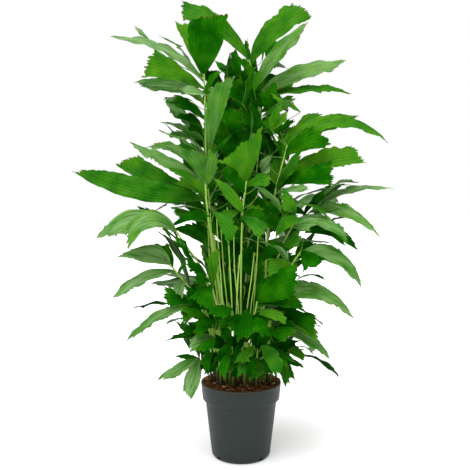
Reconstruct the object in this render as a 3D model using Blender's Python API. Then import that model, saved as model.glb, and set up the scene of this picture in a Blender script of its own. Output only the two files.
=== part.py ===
"""A potted fishtail palm: a nursery pot, its compost, and a clump of leafy fronds that stand in it.

Every frond is one node: a stalk that rises out of a hole in the compost and carries wedge-shaped leaflets
with jagged ends. The tables give the fronds' turning points and the leaflets' tips as real sizes in
millimetres. The fronds of the front and the sides are drawn as on a front elevation taken from EYE: across
and up are read at the pot's axis, and depth, positive away from the eye, moves a point along its line of sight.
"""

import math

import bmesh
import bpy
import numpy as np
from mathutils import Matrix
from mathutils.bvhtree import BVHTree

MM = 0.001
GAP = 0.0003

EYE = np.array((-0.018, -1.85, 0.75))
SIGHT_HEIGHT = 0.661
SIGHT_PITCH = math.atan2(EYE[2] - SIGHT_HEIGHT, -EYE[1])

POT_SIDES = 30
WALL = 0.0022
RIM_RADIUS = 0.120
RIM_HEIGHT = 0.222
BAND_RADIUS = 0.1145
BAND_FOOT = 0.172
STEP_FOOT = 0.1655
STEP_RADIUS = 0.1065
FOOT_RADIUS = 0.0885
FOOT_CURVE = 0.014
DRAIN_COUNT = 4
DRAIN_WIDTH = 0.013
DRAIN_HEIGHT = 0.007
DRAIN_TURN = math.radians(-3.0)

SOIL_CROWN = 0.010
SOIL_LUMP = 0.0035
HOLE_DEPTH = 0.026

STALK_SIDES = 5
STALK_FOOT = 0.0038
STALK_TOP = 0.0019

BLADE = 0.0009
ROOT_WIDTH = 0.0034
ROOT_THICK = 0.0020
ROOT_STEP = 0.011
FLAT_ANGLE = math.radians(0.05)
SPARE = 0.0030

# Leaflet forms: how far the short edge stays behind, how soon the blade is full width, the teeth in mm, and
# how much narrower it is at its end.
FORMS = {
    "fan": (0.12, 1.15, 11.0, 0.0),
    "wedge": (0.26, 1.8, 10.0, 0.12),
    "strap": (0.20, 3.4, 8.0, 0.42),
    "tailed": (0.40, 2.9, 7.0, 0.62),
    "paddle": (0.12, 2.3, 8.0, 0.16),
    "lance": (0.16, 4.2, 7.0, 0.70),
    "sail": (0.46, 1.25, 10.0, 0.0),
}

# Front and side fronds: name, foot on the compost (across, depth), stalk points (across, up, depth) and
# leaflets. Leaflet: form, place on the stalk counted in stalk points, tip (across, up, depth), width, tilt of
# the face towards the eye in degrees, upward bow as a part of the length, side of the long edge.
DRAWN = (
    ("frond_crown_left", (-25, 10), ((-45, 380, 0), (-68, 560, -5), (-92, 740, -15), (-103, 870, -25),
                                     (-107, 1003, -30), (-108, 1087, -35), (-110, 1138, -40)), (
        ("paddle", 6, -94, 1328, -70, 128, 75, 0.03, 1),
        ("paddle", 6, -174, 1302, 20, 62, 62, 0.05, -1),
        ("strap", 5.8, -396, 1242, -10, 44, 50, 0.13, 1),
        ("fan", 5.1, -296, 1180, -110, 96, 68, 0.04, -1),
        ("strap", 4.9, -320, 1098, -70, 52, -54, 0.09, -1),
        ("strap", 4.5, -200, 1096, 50, 36, -45, 0.08, 1),
        ("wedge", 4.0, -217, 1070, 70, 44, 55, 0.05, -1),
        ("wedge", 5.4, -54, 1164, -60, 34, 50, 0.08, 1),
    )),
    ("frond_crown_right", (15, 15), ((6, 380, 15), (15, 540, 20), (27, 700, 20), (45, 835, 15), (56, 974, 5),
                                     (48, 1093, -5), (24, 1180, -10)), (
        ("paddle", 6, -194, 1335, 40, 78, 68, 0.11, 1),
        ("paddle", 6, 202, 1345, -40, 90, 68, 0.09, 1),
        ("strap", 5.1, 208, 1284, -90, 58, 60, 0.08, -1),
        ("wedge", 6, 8, 1254, 30, 22, 70, 0.02, 1),
        ("wedge", 5.2, -18, 1206, -70, 40, 60, 0.06, -1),
        ("strap", 5.0, 325, 1170, 50, 72, 58, 0.07, -1),
        ("strap", 4.8, 328, 1091, 20, 46, 42, 0.06, 1),
        ("wedge", 4.5, 175, 1122, 90, 48, 55, 0.06, -1),
        ("wedge", 4.4, 169, 1063, -80, 44, -50, 0.05, 1),
        ("tailed", 4.0, 130, 1060, -20, 30, 50, 0.05, 1),
    )),
    ("frond_right_arch", (60, -20), ((64, 380, -30), (72, 520, -45), (80, 677, -60), (108, 815, -75),
                                     (137, 926, -85)), (
        ("tailed", 4, 446, 942, -70, 78, 52, 0.215, 1),
        ("strap", 4, 356, 1000, -10, 60, 52, 0.12, -1),
        ("wedge", 3.7, 270, 968, -130, 82, 64, 0.07, 1),
        ("lance", 4, -28, 1072, -60, 10, 60, 0.11, -1),
        ("paddle", 3.05, 372, 905, -110, 78, 64, 0.07, 1),
        ("fan", 3, 292, 846, -170, 88, 70, 0.05, 1),
        ("wedge", 3.1, 193, 908, -150, 44, 60, 0.05, -1),
        ("wedge", 2.9, 214, 806, -190, 40, 60, 0.03, 1),
        ("wedge", 3.4, 166, 1010, -60, 36, 50, 0.04, 1),
    )),
    ("frond_right_reach", (80, 18), ((84, 380, 10), (120, 528, -5), (155, 653, -20), (197, 720, -35),
                                     (222, 742, -45)), (
        ("tailed", 4, 467, 799, -60, 42, 38, 0.12, 1),
        ("wedge", 3.6, 286, 800, 30, 50, 55, 0.08, -1),
        ("tailed", 4, 429, 655, -130, 62, 54, 0.17, 1),
        ("wedge", 3.0, 110, 740, 40, 42, 50, 0.05, -1),
    )),
    ("frond_right_low_arch", (40, -45), ((48, 380, -60), (86, 530, -85), (131, 646, -105),
                                         (163, 704, -120)), (
        ("strap", 3, 332, 640, -160, 54, 50, 0.15, 1),
        ("wedge", 2.6, 241, 690, -190, 52, 64, 0.06, -1),
        ("strap", 2.4, 356, 620, -90, 58, 52, 0.16, 1),
        ("wedge", 3, 150, 770, -150, 48, 62, 0.04, -1),
    )),
    ("frond_right_dark", (62, -52), ((66, 340, -75), (112, 480, -110), (150, 570, -130), (178, 612, -140)), (
        ("fan", 3, 226, 560, -210, 78, 66, 0.06, 1),
        ("tailed", 3, 371, 500, -130, 74, 60, 0.22, 1),
        ("wedge", 2.5, 250, 590, -70, 44, 50, 0.08, -1),
        ("wedge", 2.0, 60, 560, -190, 58, 66, 0.05, -1),
    )),
    ("frond_right_broad", (22, -68), ((26, 320, -95), (38, 410, -125), (48, 462, -140)), (
        ("paddle", 2, 178, 538, -205, 94, 68, 0.05, -1),
        ("wedge", 2, 208, 452, -180, 50, 55, 0.08, 1),
        ("tailed", 2, 356, 404, -130, 76, 58, 0.25, 1),
        ("wedge", 1.5, 150, 410, -200, 46, 60, 0.05, 1),
        ("wedge", 1.9, 70, 545, -165, 42, 62, 0.04, -1),
    )),
    ("frond_right_skirt", (78, -24), ((80, 300, -50), (84, 370, -80), (88, 420, -95)), (
        ("fan", 2, 236, 388, -150, 64, 62, 0.08, 1),
        ("wedge", 2, 241, 350, -190, 48, 52, 0.10, 1),
        ("tailed", 1.6, 281, 296, -130, 66, 56, 0.09, 1),
        ("wedge", 2, 190, 470, -70, 48, 50, 0.06, -1),
    )),
    ("frond_right_foot", (92, -8), ((93, 270, -20), (96, 318, -40)), (
        ("wedge", 1, 211, 286, -100, 40, 50, 0.14, 1),
        ("wedge", 1, 150, 350, -110, 46, 60, 0.06, -1),
        ("strap", 0.8, 139, 208, -140, 44, 62, 0.16, 1),
        ("tailed", 0.9, 170, 224, -60, 42, 45, 0.18, 1),
        ("tailed", 0.8, 198, 262, 30, 40, 45, 0.14, 1),
    )),
    ("frond_left_reach", (-45, -15), ((-60, 380, -30), (-80, 558, -50), (-98, 710, -65), (-105, 770, -70),
                                      (-106, 808, -75)), (
        ("strap", 4, -343, 930, -40, 46, 56, 0.04, 1),
        ("strap", 3, -494, 873, -150, 84, 66, -0.06, -1),
        ("paddle", 3.2, -358, 898, -60, 70, 64, -0.03, -1),
        ("wedge", 4, -40, 860, -20, 44, 55, 0.05, 1),
    )),
    ("frond_tall_strap", (-28, -40), ((-40, 380, -55), (-72, 558, -85), (-98, 720, -115), (-105, 820, -130),
                                      (-94, 912, -142)), (
        ("wedge", 4, -46, 1156, -185, 70, 80, 0.03, 1),
        ("wedge", 3, -146, 926, -195, 80, -66, 0.03, 1),
        ("wedge", 3.1, -70, 918, -210, 44, -66, 0.03, 1),
        ("strap", 2.9, -286, 936, -90, 46, -48, 0.20, 1),
        ("strap", 2.6, -226, 868, -140, 30, 50, 0.08, -1),
    )),
    ("frond_left_shade", (-10, 40), ((-33, 380, 50), (-50, 600, 65), (-84, 840, 75), (-116, 962, 80)), (
        ("wedge", 3, -240, 1058, 90, 42, 66, 0.05, 1),
        ("tailed", 3, -244, 1002, 40, 34, 60, 0.06, -1),
        ("wedge", 2.9, -226, 956, 80, 36, 62, 0.08, 1),
        ("fan", 3, -60, 1090, 40, 64, 62, 0.04, 1),
        ("wedge", 2.6, -40, 930, 20, 48, 60, 0.04, 1),
    )),
    ("frond_left_droop", (-55, -38), ((-66, 340, -50), (-86, 460, -65), (-116, 558, -85),
                                      (-168, 636, -110), (-212, 698, -125)), (
        ("strap", 4, -421, 634, -150, 76, 62, 0.19, 1),
        ("wedge", 4, -80, 730, -150, 42, 52, 0.05, 1),
        ("wedge", 3.8, -78, 640, -60, 60, 60, 0.06, 1),
        ("strap", 3.9, -358, 620, -190, 68, 62, 0.36, -1),
    )),
    ("frond_left_tail", (-75, -14), ((-78, 340, -30), (-108, 440, -50), (-160, 512, -75), (-211, 573, -90)), (
        ("tailed", 3, -374, 610, -140, 80, 62, 0.12, -1),
        ("wedge", 3, -262, 645, -60, 62, 58, 0.05, -1),
        ("strap", 3, -384, 458, -160, 46, 50, 0.13, 1),
        ("wedge", 3, -158, 585, -140, 36, 55, 0.04, 1),
        ("wedge", 2.2, -196, 474, -140, 44, 60, 0.08, -1),
    )),
    ("frond_left_inner", (-42, -62), ((-48, 320, -80), (-68, 430, -105), (-86, 504, -125),
                                      (-102, 540, -135)), (
        ("wedge", 3, -176, 577, -180, 48, 60, 0.05, 1),
        ("wedge", 2.4, -152, 532, -200, 42, 58, 0.05, -1),
        ("fan", 2.2, -125, 440, -220, 80, 66, 0.08, -1),
        ("wedge", 3, -98, 634, -190, 42, 62, 0.04, 1),
    )),
    ("frond_left_broad", (-68, -48), ((-72, 280, -60), (-90, 364, -80), (-113, 433, -95),
                                      (-131, 463, -105)), (
        ("fan", 3, -241, 476, -130, 68, 66, 0.04, 1),
        ("strap", 3, -338, 334, -140, 40, 48, 0.13, 1),
        ("wedge", 2.2, -190, 400, -170, 46, 58, 0.08, -1),
        ("wedge", 3, -120, 540, -60, 44, 58, 0.04, 1),
    )),
    ("frond_left_skirt", (-60, -70), ((-62, 262, -82), (-70, 334, -98), (-84, 400, -110)), (
        ("wedge", 2, -194, 436, -150, 46, 56, 0.06, 1),
        ("wedge", 1.8, -188, 374, -130, 42, 54, 0.08, -1),
        ("tailed", 1.3, -232, 338, -70, 34, 44, 0.10, 1),
        ("strap", 1.2, -170, 316, -180, 50, 58, 0.12, -1),
        ("wedge", 2, -40, 450, -180, 46, 62, 0.05, 1),
    )),
    ("frond_left_foot", (-88, -28), ((-92, 262, -40), (-106, 276, -55), (-132, 292, -72)), (
        ("strap", 2, -246, 220, -130, 42, 52, 0.03, 1),
        ("strap", 2, -166, 169, -170, 54, 60, 0.02, -1),
        ("tailed", 2, -198, 292, -60, 36, 44, 0.10, 1),
        ("wedge", 1.2, -96, 240, -160, 46, 62, 0.14, -1),
    )),
    ("frond_middle_fan", (2, -42), ((0, 380, -70), (0, 560, -105), (4, 720, -140), (16, 820, -160)), (
        ("sail", 3, -8, 966, -215, 140, 76, 0.03, 1),
        ("wedge", 3, 102, 832, -230, 54, 64, 0.05, 1),
        ("wedge", 2.6, -66, 870, -220, 50, 62, 0.05, -1),
        ("wedge", 2.0, 78, 720, -200, 46, 62, 0.05, 1),
    )),
    ("frond_middle_low", (-10, -64), ((-14, 340, -90), (-12, 480, -125), (-4, 600, -150)), (
        ("wedge", 2.8, 93, 655, -220, 54, 60, 0.08, 1),
        ("wedge", 2.9, -84, 690, -200, 48, 62, 0.05, -1),
        ("wedge", 2.8, 20, 715, -180, 48, 68, 0.03, 1),
        ("wedge", 0.3, -84, 428, -205, 50, 60, 0.08, -1),
    )),
)

# Suckers of the front: foot, stalk tip (across, up, depth), leaflets as above with one width for all.
SUCKERS = (
    ((-24, -84), (-27, 336, -112), ((-66, 415, -160), (-104, 352, -170), (-40, 236, -176), (8, 395, -150))),
    ((8, -90), (12, 362, -122), ((-6, 440, -165), (62, 425, -165), (12, 232, -182), (-52, 372, -190))),
    ((42, -82), (50, 322, -112), ((104, 396, -150), (120, 320, -165), (48, 222, -176), (20, 392, -180))),
    ((22, -20), (14, 430, -30), ((-50, 500, 10), (40, 520, -10), (70, 455, -50), (-30, 440, -40))),
    ((84, -46), (104, 345, -90), ((172, 420, -120), (176, 330, -150), (128, 262, -160), (60, 400, -150))),
)
SUCKER_WIDTH = 50.0

# Fronds of the back, set out by rule: how many, the turn from one to the next in degrees, the spacing of
# their feet and the nearest two may be in mm, the lowest and the highest node, how far out a node lies, and
# how much of that goes sideways.
BACK_COUNT = 12
GOLDEN = 137.508
FEET_SPACING = 8.2
FEET_APART = 16.5
BACK_LOW = 0.36
BACK_HIGH = 1.10
BACK_OUT = 0.12
BACK_ACROSS = 0.62

# Their leaflets: form, place on the stalk, heading and slope in degrees, and how wide for its length.
BACK_LEAFLETS = (
    ("tailed", 1.65, -62, -4, 0.7),
    ("wedge", 1.79, 48, 8, 1.0),
    ("strap", 1.95, -20, 28, 1.0),
    ("fan", 2.0, 12, 62, 1.0),
)


def unit(v):
    """The vector at length one."""
    return v / np.linalg.norm(v)


def seen(across, up, depth):
    """Where a point of the front elevation lies, at its depth, in metres."""
    tilt = math.sin(SIGHT_PITCH), math.cos(SIGHT_PITCH)
    rise = up * MM - SIGHT_HEIGHT
    drawn = np.array((across * MM, rise * tilt[0], SIGHT_HEIGHT + rise * tilt[1]))
    return EYE + (drawn - EYE) * (depth * MM - EYE[1]) / (drawn[1] - EYE[1])


def through(points, s):
    """A Catmull-Rom curve through the points, read at s, which counts in points."""
    p = np.vstack((2 * points[0] - points[1], points, 2 * points[-1] - points[-2]))
    i = np.clip(np.floor(s).astype(int), 0, len(points) - 2)
    t = (s - i)[:, None]
    a, b, c, d = p[i], p[i + 1], p[i + 2], p[i + 3]
    bend, swing = 2 * a - 5 * b + 4 * c - d, 3 * b - 3 * c + d - a
    return 0.5 * (2 * b + (c - a) * t + bend * t**2 + swing * t**3)


def rows_unit(v):
    """Each row at length one."""
    return v / np.linalg.norm(v, axis=1)[:, None]


class Stalk:
    """A frond's stalk: an upright foot in the compost, then a smooth curve through its points."""

    def __init__(self, foot, points):
        self.foot = np.array(foot) * MM
        self.points = points
        self.start = np.array((*self.foot, soil_height(*self.foot) + 0.004))

    def line(self, s):
        """The centre line at s: 0 is the first stalk point, and -1 is where it leaves the compost."""
        return through(np.vstack((self.start, self.points)), s + 1)

    def radius(self, s):
        """The radius at s, from the foot's to the top's."""
        t = np.clip((s + 1) / len(self.points), 0, 1)
        return STALK_FOOT + (STALK_TOP - STALK_FOOT) * t**0.8


class Blade:
    """A leaflet: a jagged wedge that leaves its stalk at the root and bows over to its tip."""

    def __init__(self, form, place, root, tip, width, tilt, bow, side, front, seed):
        self.form = form
        self.place = place
        self.root = root
        self.tip = tip
        self.width = width * MM
        self.tilt = math.radians(tilt)
        self.bow = bow
        self.side = side
        self.front = front
        draw = np.random.default_rng(seed)
        self.phase = draw.uniform(0, 2 * math.pi, 3)
        self.twist = math.radians(draw.uniform(-16, 16))
        self.teeth = draw.uniform(0.45, 1.25, 9)
        self.skew = draw.uniform(-0.05, 0.05, 9)
        self.cup = draw.uniform(0.22, 0.40)

    def length(self):
        return float(np.linalg.norm(self.tip - self.root))

    def tooth_count(self):
        """Four points on a wide end, three on a narrow or short one."""
        return 4 if self.width > 0.064 and self.length() > 0.15 else 3

    def end_row(self):
        """Where the teeth and the notches between them lie across the end, and how deep each one is."""
        n = 2 * self.tooth_count() - 1
        across = np.linspace(-1, 1, n)
        across[1:-1] += self.skew[1:n - 1]
        notch = FORMS[self.form][2] * MM / self.length()
        low, high = notch * self.teeth[:n], notch * 0.25 * (self.teeth[:n] - 0.45)
        depth = np.where(np.arange(n) % 2 == 1, low, high)
        return across, depth

    def reach(self, v):
        """The ray at v as a part of the length: the short edge stays behind, and the end is jagged."""
        behind = FORMS[self.form][0] * ((1 - v * self.side) / 2) ** 1.25
        return 1 - behind - np.interp(v, *self.end_row())

    def surface(self, u, v):
        """The blade's middle sheet at u, 0 at the root to 1 at the jagged end, and v, -1 to 1 across it."""
        chord = self.tip - self.root
        size = self.length()
        lift = np.array((0, 0, math.cos(self.tilt))) + math.sin(self.tilt) * self.front
        rise = np.array((0, 0, 1.0)) + 0.4 * lift
        rise = unit(rise - chord * (rise @ chord) / size**2)
        a = (u * self.reach(v))[:, None]
        line = self.root + chord * a + rise * size * self.bow * 4 * a * (1 - a)
        run = rows_unit(chord + rise * size * self.bow * 4 * (1 - 2 * a))
        up = rows_unit(lift - run * (run @ lift)[:, None])
        across = np.cross(run, up)
        turn = (self.twist * (a[:, 0] - 0.4))[:, None]
        side = across * np.cos(turn) + up * np.sin(turn)
        normal = up * np.cos(turn) - across * np.sin(turn)
        _, fill, _, taper = FORMS[self.form]
        half = self.width / 2
        base = ROOT_WIDTH / self.width
        spread = base + (1 - base) * (1 - (1 - u * 0.92) ** fill) / (1 - 0.08**fill)
        spread = spread * (1 - taper * u**3)
        fold = self.cup * np.abs(v) * spread * (0.9 - 1.15 * u)
        wave = 0.10 * np.sin(4.2 * u + 2.1 * v + self.phase[0]) * u * (0.3 + 0.7 * v * v)
        return line + side * (half * v * spread)[:, None] + normal * (half * (fold + wave))[:, None]


def soil_height(x, y):
    """The compost's top: a low crown inside the rim."""
    r = math.hypot(x, y) / RIM_RADIUS
    return RIM_HEIGHT - 0.002 + SOIL_CROWN * (1 - r * r)


def sheet(blade, start=0.0):
    """A coarse sheet of the blade: a two-point root, rows of three points, and the jagged end row."""
    cuts = [0.45]
    if blade.length() > 0.20:
        cuts = [0.34, 0.70]
    if blade.length() > 0.32:
        cuts = [0.26, 0.52, 0.80]
    rows = len(cuts)
    ends, _ = blade.end_row()
    n = len(ends)
    u = np.concatenate(((start, start), np.repeat(cuts, 3), np.ones(n)))
    v = np.concatenate(((-1, 1), np.tile((-1.0, 0.0, 1.0), rows), ends))
    faces = [(0, 3, 2), (0, 1, 3), (1, 4, 3)]
    for row in range(rows - 1):
        for col in (0, 1):
            a = 2 + row * 3 + col
            faces += [(a, a + 1, a + 4), (a, a + 4, a + 3)]
    last = 3 * rows - 1
    tip = last + 3
    faces += [(last, tip + 1, tip), (last, last + 1, tip + 1)]
    faces += [(last + 1, tip + k + 1, tip + k) for k in range(1, n - 2)]
    faces += [(last + 1, last + 2, tip + n - 2), (last + 2, tip + n - 1, tip + n - 2)]
    rim = [0, 1] + [4 + 3 * row for row in range(rows)] + [tip + k for k in range(n - 1, -1, -1)]
    rim += [2 + 3 * row for row in range(rows - 1, -1, -1)]
    return blade.surface(u, v), np.array(faces), rim


def thicken(points, faces, rim, thickness):
    """A closed solid on the sheet: it is laid out again on both sides and walled round its rim."""
    normals = np.zeros_like(points)
    a, b, c = points[faces[:, 0]], points[faces[:, 1]], points[faces[:, 2]]
    across = np.cross(b - a, c - a)
    for corner in range(3):
        np.add.at(normals, faces[:, corner], across)
    normals = rows_unit(normals) * (np.asarray(thickness) / 2)
    n = len(points)
    walls = []
    for i, j in zip(rim, rim[1:] + rim[:1]):
        walls += [(j, i, i + n), (j, i + n, j + n)]
    return np.vstack((points + normals, points - normals)), np.vstack((faces, faces[:, ::-1] + n, walls))


def blade_solid(blade):
    """The leaflet's own solid, with a thicker root that ends inside the stalk."""
    points, faces, rim = sheet(blade)
    thick = np.full((len(points), 1), BLADE)
    thick[:2] = ROOT_THICK
    return thicken(points, faces, rim, thick)


def tube(centres, radii, sides):
    """A closed tube round the centres, with the rings turned as little as they can be."""
    run = np.gradient(centres, axis=0)
    run = rows_unit(run)
    up = np.array((1.0, 0, 0))
    points = []
    turn = np.arange(sides) * 2 * math.pi / sides
    for centre, way, radius in zip(centres, run, radii):
        up = unit(up - way * (up @ way))
        side = np.cross(way, up)
        points.append(centre + radius * (np.cos(turn)[:, None] * up + np.sin(turn)[:, None] * side))
    points = np.vstack(points)
    faces = []
    for row in range(len(centres) - 1):
        for k in range(sides):
            a, b = row * sides + k, row * sides + (k + 1) % sides
            faces += [(a, b, b + sides), (a, b + sides, a + sides)]
    end = (len(centres) - 1) * sides
    faces += [(0, k + 1, k) for k in range(1, sides - 1)]
    faces += [(end, end + k, end + k + 1) for k in range(1, sides - 1)]
    return points, np.array(faces)


def stalk_rings(stalk, places):
    """The stalk's centres and radii: the upright foot, then a ring at each of the places along it."""
    places = np.array(places)
    foot = stalk.start - np.array((0, 0, HOLE_DEPTH))
    centres = np.vstack((foot, stalk.start, stalk.line(places)))
    radii = np.concatenate(([STALK_FOOT, STALK_FOOT], stalk.radius(places)))
    return centres, radii


def even_places(stalk, per_span):
    """Places set out evenly along the stalk above its foot."""
    count = len(stalk.points)
    return np.linspace(-1, count - 1, per_span * count + 1)[1:]


def leaf_places(stalk, roots):
    """Places for a coarse stalk's rings: at its own points, and where leaflets root."""
    places = []
    for root in sorted(roots):
        if not places or root - places[-1] > 0.13:
            places.append(root)
    for own in range(len(stalk.points)):
        last = own == len(stalk.points) - 1
        if all(abs(own - root) > (0.04 if last else 0.35) for root in places):
            places.append(float(own))
    return sorted(places)


def back_feet(taken):
    """Feet for the fronds of the back: places of a sunflower's spiral there that no other foot is near."""
    feet = []
    for k in range(3, 140):
        turn, far = math.radians(k * GOLDEN), FEET_SPACING * math.sqrt(k)
        foot = (far * math.cos(turn), far * math.sin(turn))
        if far < 94 and foot[1] > 4 and all(math.dist(foot, other) > FEET_APART for other in taken + feet):
            feet.append(foot)
    return feet[:BACK_COUNT]


def back_fronds(taken):
    """The fronds of the back by rule: a node above and outside each foot, and leaflets in turn round it."""
    made = []
    for k, foot in enumerate(back_feet(taken)):
        draw = np.random.default_rng(400 + k)
        foot = np.array(foot) * MM
        heading = math.atan2(foot[1] + 0.035, foot[0] * 0.8)
        out = np.array((math.cos(heading) * BACK_ACROSS, math.sin(heading)))
        high = BACK_LOW + (BACK_HIGH - BACK_LOW) * ((k * 0.618 + 0.35) % 1)
        far = BACK_OUT * (1.25 - 0.6 * high)
        node = np.array((*(foot + out * far), high))
        points = [np.array((*(foot + (node[:2] - foot) * w), 0.24 + (high - 0.24) * h))
                  for w, h in ((0.12, 0.3), (0.45, 0.65), (1.0, 1.0))]
        leaflets = []
        for j, (form, place, aside, rise, breadth) in enumerate(BACK_LEAFLETS):
            fan = heading + math.radians(aside + draw.uniform(-10, 10))
            length = draw.uniform(0.18, 0.28)
            slope = math.radians(rise + draw.uniform(-8, 8))
            flat = math.cos(slope)
            way = np.array((math.cos(fan) * 0.75 * flat, math.sin(fan) * flat, math.sin(slope)))
            width = draw.uniform(48, 70) * breadth
            tilt, bow = draw.uniform(20, 60), draw.uniform(0.06, 0.16)
            leaflets.append((form, place, way * length, width, tilt, bow, 1 - 2 * (j % 2)))
        made.append((f"frond_back_{k + 1:02d}", foot / MM, points, heading, leaflets))
    return made


def set_out():
    """All stalks and leaflets as drawn: a list of name, stalk and blades."""
    plan = []
    for index, (name, foot, points, leaflets) in enumerate(DRAWN):
        leaves = [(("eye", seen(*leaf[2:5])), leaf[0], leaf[1], *leaf[5:], (1, index, j))
                  for j, leaf in enumerate(leaflets)]
        plan.append((name, Stalk(foot, [seen(*p) for p in points]), leaves))
    for index, (foot, top, tips) in enumerate(SUCKERS):
        middle = seen((foot[0] + top[0]) / 2, (235 + top[1]) / 2, (foot[1] + top[2]) / 2)
        leaves = [(("eye", seen(*tip)), "wedge", 0.8 + 0.06 * j, SUCKER_WIDTH, 64, 0.07, 1 - 2 * (j % 2),
                   (2, index, j)) for j, tip in enumerate(tips)]
        plan.append((f"sucker_{index + 1}", Stalk(foot, [middle, seen(*top)]), leaves))
    taken = [row[1] for row in DRAWN] + [row[0] for row in SUCKERS]
    for index, (name, foot, points, heading, leaflets) in enumerate(back_fronds(taken)):
        leaves = [(("out", leaf[2], heading), leaf[0], leaf[1], *leaf[3:], (3, index, j))
                  for j, leaf in enumerate(leaflets)]
        plan.append((name, Stalk(foot, points), leaves))
    return plan


def clear_stalks(plan):
    """Moves each stalk a little, mostly in depth, until it passes all earlier ones with room to spare."""
    placed = np.zeros((0, 4))
    for name, stalk, _ in plan:
        drawn = np.array(stalk.points)
        weight = np.minimum(1.0, 0.55 * np.arange(1, len(drawn) + 1))[:, None]
        for k in range(160):
            turn, far = 2.4 * k, 5 * MM * math.sqrt(k)
            shift = np.array((0.4 * far * math.sin(turn), far * math.cos(turn), 0))
            stalk.points = drawn + weight * shift
            s = np.linspace(-1, len(drawn) - 1, 40 * len(drawn))
            line = stalk.line(s)
            here = np.column_stack((line, stalk.radius(s)))
            if len(placed) == 0:
                break
            far_apart = np.linalg.norm(line[:, None, :] - placed[None, :, :3], axis=2)
            room = 0.0015 + 0.004 * np.clip((line[:, 2] - 0.25) / 0.15, 0, 1)
            if (far_apart > here[:, 3:] + placed[:, 3] + room[:, None]).all():
                break
        else:
            raise RuntimeError(f"{name}: its stalk crosses another")
        placed = np.vstack((placed, here))


def hits(tree, box, others):
    """Whether a tree touches any of the others whose boxes it meets."""
    for other, other_box in others:
        if (box[0] <= other_box[1]).all() and (other_box[0] <= box[1]).all():
            if tree.overlap(other):
                return True
    return False


def bvh(points, faces):
    """A tree for overlap tests, and the box of its points."""
    return BVHTree.FromPolygons(points.tolist(), faces.tolist()), (points.min(0), points.max(0))


def clear_blades(plan):
    """Bends each leaflet a little until it is clear of the stalks, the pot and all earlier leaflets."""
    stalks = []
    for name, stalk, _ in plan:
        centres, radii = stalk_rings(stalk, even_places(stalk, 4))
        stalks.append((name, bvh(*tube(centres, radii * 1.1 + 0.0012, 6))))
    outer = RIM_RADIUS + 0.003
    keep_off = [(0.001, RIM_HEIGHT + 0.016), (0.05, RIM_HEIGHT + 0.015), (0.09, RIM_HEIGHT + 0.010),
                (outer, RIM_HEIGHT + 0.004), (outer, 0.16), (0.10, 0.001)]
    pot = [bvh(*turned(keep_off, 24))]
    placed = []
    made = []
    for name, stalk, leaves in plan:
        blades = []
        own = []
        others = pot + [tree for other, tree in stalks if other != name] + placed
        roots = []
        for goal, form, place, width, tilt, bow, side, seed in leaves:
            place = float(place)
            while any(math.dist(stalk.line(np.array([place]))[0], near) < ROOT_STEP for near in roots):
                place -= 0.02
            root = stalk.line(np.array([place]))[0]
            roots.append(root)
            if goal[0] == "eye":
                tip, front = goal[1], np.array((0, -1.0, 0))
                line_out = unit(tip - EYE)
            else:
                tip, front = root + goal[1], np.array((math.cos(goal[2]), math.sin(goal[2]), 0))
                line_out = np.array((-front[1], front[0], 0))
            chord = tip - root
            first = line_out - 0.6 * unit(chord) * (unit(chord) @ line_out)
            second = unit(np.cross(unit(chord), first))
            for k in range(140):
                turn, far = 2.4 * k, math.sqrt(k)
                sway = first * 11 * MM * far * math.cos(turn) + second * 3 * MM * far * math.sin(1.7 * turn)
                turned_by = 5 * far * math.sin(turn)
                blade = Blade(form, place, root, tip + sway, width, tilt + turned_by, bow, side, front, seed)
                points, faces, rim = sheet(blade)
                tree, box = bvh(*thicken(points, faces, rim, SPARE))
                outer, outer_faces, outer_rim = sheet(blade, 0.06)
                outer_tree, outer_box = bvh(*thicken(outer, outer_faces, outer_rim, SPARE * 0.6))
                if not hits(tree, box, others) and not hits(outer_tree, outer_box, own):
                    break
            else:
                continue
            blades.append(blade)
            own.append((outer_tree, outer_box))
            placed.append((tree, box))
        made.append((name, stalk, blades))
    return made


def turned(profile, sides):
    """A body turned round Z from a profile of (radius, height), closed at the axis at both ends."""
    turn = np.arange(sides) * 2 * math.pi / sides
    ring = np.column_stack((np.cos(turn), np.sin(turn)))
    points = np.vstack([np.column_stack((ring * r, np.full(sides, z))) for r, z in profile]
                       + [[(0, 0, profile[0][1]), (0, 0, profile[-1][1])]])
    faces = []
    for row in range(len(profile) - 1):
        for k in range(sides):
            a, b = row * sides + k, row * sides + (k + 1) % sides
            faces += [(a, a + sides, b + sides), (a, b + sides, b)]
    top, low = len(points) - 2, len(points) - 1
    end = (len(profile) - 1) * sides
    faces += [(top, k, (k + 1) % sides) for k in range(sides)]
    faces += [(low, end + (k + 1) % sides, end + k) for k in range(sides)]
    return points, np.array(faces)


def add_object(name, points, faces, material=None, smooth=False):
    """An object from points and triangles, linked to the scene."""
    mesh = bpy.data.meshes.new(name)
    mesh.from_pydata([tuple(p) for p in points.tolist()], [], [tuple(f) for f in faces.tolist()])
    if material:
        mesh.materials.append(material)
    if smooth:
        mesh.shade_smooth()
        mesh.set_sharp_from_angle(angle=math.radians(40))
    made = bpy.data.objects.new(name, mesh)
    bpy.context.scene.collection.objects.link(made)
    return made


def finish(name, colour, roughness):
    """A Principled material."""
    material = bpy.data.materials.new(name)
    material.use_nodes = True
    shader = material.node_tree.nodes["Principled BSDF"]
    shader.inputs["Base Color"].default_value = (*colour, 1)
    shader.inputs["Roughness"].default_value = roughness
    shader.inputs["Metallic"].default_value = 0.0
    return material


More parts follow.
